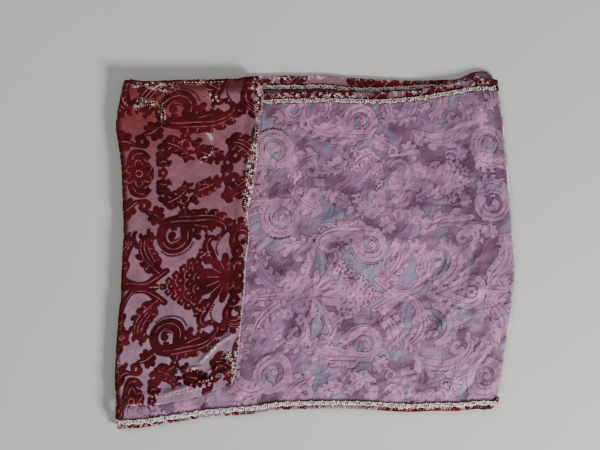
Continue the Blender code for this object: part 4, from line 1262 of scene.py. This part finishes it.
def makeLowerPieces():
    fold = cloth["panelRun"]
    uLine = [np.arange(0.0, fold, lowerPiece["spacing"]), np.linspace(fold, 0.4244, 12),
             np.arange(0.4284, lowerLength, lowerPiece["spacing"])]
    vLine = np.linspace(*vInner, 92)
    mesh = shellMesh("lowerRuns", lowerRuns, np.concatenate(uLine), vLine, cloth["shell"], lowerSpot, topGlints)
    piece = placePiece("lowerRuns", mesh, [backGround, ground])
    run, across = (0.001, lowerPiece["secondEnd"]), (cloth["width"] - lowerPiece["band"], cloth["width"] - roll)
    bandTop = patternMesh("secondRunPile", lowerRuns, run, across, lowerSpot, lowerPiece["pile"], -1, topGlints)
    run, across = (lowerLength - fold, lowerLength - 0.002), (0.004, cloth["width"] - 0.004)
    under = patternMesh("undersidePile", lowerRuns, run, across, lowerSpot, lowerPiece["underPile"], -1)
    return piece, placePiece("secondRunPile", bandTop, [velvet]), placePiece("undersidePile", under, [velvet])


lowerCloth, secondPile, undersidePile = makeLowerPieces()
secondHem = makeHem(
    "secondRunHem", lowerRuns, "top", (0.002, lowerPiece["secondEnd"]), lowerPiece["secondHem"],
    lowerSpot, 1, topGlints, lowerPiece["secondHem"])[1]
lowestHemSurface, lowestHem = makeHem(
    "lowestRunHem", lowerRuns, "top", (lowerLength - lowerPiece["lowestShown"], lowerLength - 0.001),
    lowerPiece["lowestHem"], lowerSpot, 1, topGlints, 0.0, panelPiece["fringe"])
print("lower runs made")


def stitchUnit(name, rows, radius, sides=5):
    # one stitch: a few short threads, each a row of points
    bm = bmesh.new()
    for points in rows:
        points = np.array(points, float)
        along = np.gradient(points, axis=0)
        along /= np.linalg.norm(along, axis=1, keepdims=True)
        rings = []
        for point, way in zip(points, along):
            sideways = np.cross(way, (0, 0, 1.0))
            sideways /= np.linalg.norm(sideways) + 1e-9
            up = np.cross(sideways, way)
            ring = []
            for k in range(sides):
                angle = 2 * np.pi * k / sides
                ring.append(bm.verts.new(point + radius * (np.cos(angle) * sideways + np.sin(angle) * up)))
            rings.append(ring)
        for a, b in zip(rings, rings[1:]):
            for k in range(sides):
                bm.faces.new((a[k], a[(k + 1) % sides], b[(k + 1) % sides], b[k]))
        bm.faces.new(rings[0][::-1])
        bm.faces.new(rings[-1])
    bmesh.ops.recalc_face_normals(bm, faces=bm.faces)
    mesh = bpy.data.meshes.new(name)
    bm.to_mesh(mesh)
    bm.free()
    mesh.shade_smooth()
    unit = bpy.data.objects.new(name, mesh)
    bpy.context.scene.collection.objects.link(unit)
    return unit


overlock = {
    "stitches": 6,  # in a unit, each a little different
    "fromRawEdge": 0.0011,
    "height": 0.0006,
    "uneven": 0.00052,
    "turnJitter": 0.03,
    "sizeJitter": 0.04,
    "seed": 4,
    "close": {"pitch": 0.0021, "width": 0.0037, "thread": 0.00029},
    "open": {"pitch": 0.0026, "width": 0.0034, "thread": 0.00024},
}


def overlockUnit(kind):
    p, w, h = kind["pitch"], kind["width"] / 2, overlock["height"]
    random = np.random.default_rng(overlock["seed"])
    count = overlock["stitches"]
    threads = []
    for k in range(count):
        at = (k - (count - 1) / 2) * p
        loop = [(-0.30 * p, w, 0.1 * h), (-0.34 * p, 0.4 * w, 0.9 * h), (-0.10 * p, -0.5 * w, 1.0 * h),
                (0.02 * p, -w, 0.3 * h), (0.30 * p, -0.9 * w, 0.5 * h), (0.34 * p, -0.2 * w, 1.1 * h),
                (0.46 * p, 0.6 * w, 0.9 * h), (0.66 * p, w, 0.1 * h)]
        needle = [(-0.42 * p, w * 0.86, 0.2 * h), (0.0, w * 0.9, 1.2 * h), (0.42 * p, w * 0.86, 0.2 * h)]
        purl = [(-0.5 * p, -w, 0.2 * h), (-0.1 * p, -w * 1.12, 1.1 * h), (0.3 * p, -w * 1.05, 0.8 * h),
                (0.55 * p, -w, 0.2 * h)]
        for thread in (loop, needle, purl):
            moved = np.array(thread) + random.normal(0, overlock["uneven"], (len(thread), 3)) * (1, 1, 0.5)
            threads.append(moved + (at, 0, 0))
    return stitchUnit("overlockStitch", threads, kind["thread"])


def stitchTree(unit, material):
    tree = bpy.data.node_groups.new("stitchRow", "GeometryNodeTree")
    face = tree.interface
    face.new_socket("Geometry", in_out="INPUT", socket_type="NodeSocketGeometry")
    sockets = {}
    for label, value in (("Pitch", 0.0024), ("Turn jitter", 0.1), ("Size jitter", 0.1)):
        socket = face.new_socket(label, in_out="INPUT", socket_type="NodeSocketFloat")
        socket.default_value = value
        sockets[label] = socket.identifier
    socket = face.new_socket("Seed", in_out="INPUT", socket_type="NodeSocketInt")
    sockets["Seed"] = socket.identifier
    face.new_socket("Geometry", in_out="OUTPUT", socket_type="NodeSocketGeometry")
    given = tree.nodes.new("NodeGroupInput").outputs

    def add(kind, settings=None, **feeds):
        return addNode(tree, kind, settings, **feeds).outputs

    curve = add("GeometryNodeMeshToCurve", None, i0=given["Geometry"])[0]
    spots = add("GeometryNodeResampleCurve", {"mode": "LENGTH"}, Curve=curve, Length=given["Pitch"])[0]
    along = add("GeometryNodeInputTangent")[0]
    aligned = add("FunctionNodeAlignRotationToVector", {"axis": "X", "pivot_axis": "Z"}, Vector=along)[0]
    most = given["Turn jitter"]
    least = add("ShaderNodeMath", {"operation": "MULTIPLY"}, i0=most, i1=-1.0)[0]
    low, high = (add("ShaderNodeCombineXYZ", None, Z=turn)[0] for turn in (least, most))
    seed = given["Seed"]
    jitter = add("FunctionNodeRandomValue", {"data_type": "FLOAT_VECTOR"}, Min=low, Max=high, Seed=seed)["Value"]
    turn = add("FunctionNodeEulerToRotation", None, i0=jitter)[0]
    turned = add("FunctionNodeRotateRotation", {"rotation_space": "LOCAL"}, Rotation=aligned, Rotate_By=turn)[0]
    small, large = (add("ShaderNodeMath", {"operation": way}, i0=1.0, i1=given["Size jitter"])[0]
                    for way in ("SUBTRACT", "ADD"))
    size = add("FunctionNodeRandomValue", {"data_type": "FLOAT"}, i2=small, i3=large, Seed=seed)[1]
    stitch = add("GeometryNodeObjectInfo", None, Object=unit, As_Instance=True)["Geometry"]
    placed = add("GeometryNodeInstanceOnPoints", None, Points=spots, Instance=stitch, Rotation=turned,
                 Scale=size)[0]
    realized = add("GeometryNodeRealizeInstances", None, i0=placed)[0]
    painted = add("GeometryNodeSetMaterial", None, Geometry=realized, Material=material)[0]
    add("NodeGroupOutput", None, i0=painted)
    return tree, sockets


def stitchRow(name, points, tree, sockets, values):
    # runs a stitch tree along a line of points and keeps the result as a plain mesh
    mesh = bpy.data.meshes.new(name + "Path")
    mesh.from_pydata([tuple(p) for p in points], [(k, k + 1) for k in range(len(points) - 1)], [])
    path = bpy.data.objects.new(name + "Path", mesh)
    bpy.context.scene.collection.objects.link(path)
    modifier = path.modifiers.new("stitches", "NODES")
    modifier.node_group = tree
    for label, value in values.items():
        modifier[sockets[label]] = value
    bpy.context.view_layer.update()
    graph = bpy.context.evaluated_depsgraph_get()
    made = bpy.data.meshes.new_from_object(path.evaluated_get(graph))
    made.name = name
    bpy.data.objects.remove(path)
    piece = bpy.data.objects.new(name, made)
    bpy.context.scene.collection.objects.link(piece)
    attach(piece, "root")
    return piece


def overlockRow(name, surface, uRange, faceSide, kind, material, outward=None, step=0.004):
    # uRange runs the way that the row is sewn; outward is where it leaves the raw edge, and how far
    unit = overlockUnit(kind)
    tree, sockets = stitchTree(unit, material)
    u = np.linspace(*uRange, int(abs(uRange[1] - uRange[0]) / step))
    w = np.full_like(u, kind["width"] / 2 + overlock["fromRawEdge"])
    if outward:
        w += outward[2] * smoothStep((u - outward[0]) / (outward[1] - outward[0]))
    lift = cloth["hemShell"] / 2 + 0.0005
    points = surface(u, w) + backNormal(surface, u, w) * faceSide * lift
    values = {"Pitch": kind["pitch"] * overlock["stitches"], "Turn jitter": overlock["turnJitter"],
              "Size jitter": overlock["sizeJitter"], "Seed": overlock["seed"]}
    row = stitchRow(name, points, tree, sockets, values)
    bpy.data.objects.remove(unit)
    return row


topOverlock = overlockRow(
    "panelTopOverlock", topHemSurface, (0.4120, 0.106), 1, overlock["open"], speckledThread)
bottomOverlock = overlockRow(
    "panelBottomOverlock", bottomHemSurface, (0.4140, 0.002), -1, overlock["close"], whiteThread)
lowestOverlock = overlockRow(
    "lowestRunOverlock", lowestHemSurface, (lowerLength - 0.274, lowerLength - 0.035), 1, overlock["open"],
    whiteThread, (lowerLength - 0.165, lowerLength - 0.075, 0.0055))
print("overlock stitches made")

strayThreads = {
    "bit": 0.0013,
    "thread": 0.00020,
    "turnJitter": 1.5,
    "sizeJitter": 0.5,
    "seed": 11,  # of the first row
    "rows": [  # from u, v to u, v on the flap, and pitch
        (0.0020, 0.195, 0.0016, 0.343, 0.0024), (0.0050, 0.206, 0.0040, 0.300, 0.0022),
        (0.0072, 0.215, 0.0066, 0.270, 0.0026), (0.0012, 0.004, 0.0014, 0.195, 0.0022),
        (0.0090, 0.325, 0.0030, 0.346, 0.0022), (0.0900, 0.3470, 0.0400, 0.3475, 0.0040),
        (0.1180, 0.3440, 0.0920, 0.3380, 0.0024), (0.1250, 0.3230, 0.1000, 0.3270, 0.0030),
        (0.0975, 0.3250, 0.0955, 0.3080, 0.0020),
    ],
}
runningStitch = {
    "bit": 0.0024,
    "thread": 0.00022,
    "turnJitter": 0.15,
    "sizeJitter": 0.2,
    "seed": 3,
    "rows":[(0.030, 0.0085, 0.098, 0.0085, 0.0046)],
}


def threadBit(name, length, radius):
    sag, rise = 0.0001, radius * 1.3
    rows = [[(-length / 2, 0, 0), (-length / 5, sag, rise), (length / 5, -sag, rise), (length / 2, 0, 0)]]
    return stitchUnit(name, rows, radius, 4)


def flapRow(u0, v0, u1, v1, step=0.004):
    share = np.linspace(0, 1, max(3, int(np.hypot(u1 - u0, v1 - v0) / step)))
    u, v = u0 + (u1 - u0) * share, v0 + (v1 - v0) * share
    lift = cloth["shell"] / 2 + flapPiece["pile"]["height"] * 0.75
    return flap(u, v) - backNormal(flap, u, v) * lift


def makeThreads(names, kind):
    bit = threadBit(names[0] + "Bit", kind["bit"], kind["thread"])
    tree, sockets = stitchTree(bit, whiteThread)
    pieces = []
    for k, (name, (*places, pitch)) in enumerate(zip(names, kind["rows"])):
        values = {"Pitch": pitch, "Turn jitter": kind["turnJitter"], "Size jitter": kind["sizeJitter"],
                  "Seed": kind["seed"] + k}
        pieces.append(stitchRow(name, flapRow(*places), tree, sockets, values))
    bpy.data.objects.remove(bit)
    return pieces


flapThreads = makeThreads([f"flapStrayThreads{k}" for k in range(len(strayThreads["rows"]))], strayThreads)
flapThreads += makeThreads(["flapRunningStitch"], runningStitch)
print("stray threads made")


# the pieces stand for the solids

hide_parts("end_flap")
for hem, node in zip(flapHems, ("flap_end_hem", "flap_top_hem", "flap_bottom_hem")):
    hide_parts(node)
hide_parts("main_panel")
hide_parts("panel_top_hem")
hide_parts("panel_bottom_hem")
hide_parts("folded_layers")
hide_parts("lowest_run_hem")
pilePieces = [flapCloth, flapPile, lowerCloth, secondPile, undersidePile]
pilePieces += [hem[1] for hem in (*flapHems, topHem, bottomHem, secondHem, lowestHem)]
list(topHem)
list(bottomHem)
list(secondHem)
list(lowestHem)


# the scene: a pale floor, soft light and a camera straight above

stage = {
    "pixelsWide": 600,
    "metresPerPixel": 0.0011,
    "sensor": 36.0,
    "aim": (-0.01595, 0.02772),
    "cameraHeight": 2.4,
    "keyPlace": (1.35, -1.25, 0.85),
    "keyPower": 80.0,
    "fillPlace": (-0.9, 0.9, 1.8),
    "fillPower": 16.0,
    "worldStrength": 0.28,
}


def makeFloor():
    mesh = bpy.data.meshes.new("floor")
    mesh.from_pydata([(-3, -3, 0), (3, -3, 0), (3, 3, 0), (-3, 3, 0)], [], [(0, 1, 2, 3)])
    floor = bpy.data.objects.new("floor", mesh)
    bpy.context.scene.collection.objects.link(floor)
    n = Nodes("paleFloor")
    tone = n.mix(n.noise(3, 2.0), (0.52, 0.505, 0.485, 1), (0.56, 0.545, 0.52, 1))
    floor.data.materials.append(n.finish(tone, 0.8, None, specular=0.2))


def makeLight(name, place, aim, size, power):
    data = bpy.data.lights.new(name, "AREA")
    data.shape = "RECTANGLE"
    data.size, data.size_y = size
    data.energy = power
    light = bpy.data.objects.new(name, data)
    bpy.context.scene.collection.objects.link(light)
    light.location = place
    way = np.array(aim) - np.array(place)
    light.rotation_euler = Vector(way).to_track_quat("-Z", "Y").to_euler()
    return light


def makeCamera():
    data = bpy.data.cameras.new("camera")
    width = stage["pixelsWide"] * stage["metresPerPixel"]
    data.sensor_width = stage["sensor"]
    data.lens = stage["sensor"] * stage["cameraHeight"] / width
    camera = bpy.data.objects.new("camera", data)
    bpy.context.scene.collection.objects.link(camera)
    camera.location = (*stage["aim"], stage["cameraHeight"])
    bpy.context.scene.camera = camera


makeFloor()
makeCamera()
makeLight("key", stage["keyPlace"], (0, 0, 0), (0.45, 0.45), stage["keyPower"])
makeLight("fill", stage["fillPlace"], (0, 0, 0), (1.4, 1.4), stage["fillPower"])
world = bpy.data.worlds.new("studio")
world.use_nodes = True
world.node_tree.nodes["Background"].inputs["Color"].default_value = (1, 1, 1, 1)
world.node_tree.nodes["Background"].inputs["Strength"].default_value = stage["worldStrength"]
bpy.context.scene.world = world
for piece in bpy.data.objects:
    if piece.type == "MESH" and not piece.hide_render:
        print(piece.name, sum(len(p.vertices) - 2 for p in piece.data.polygons))
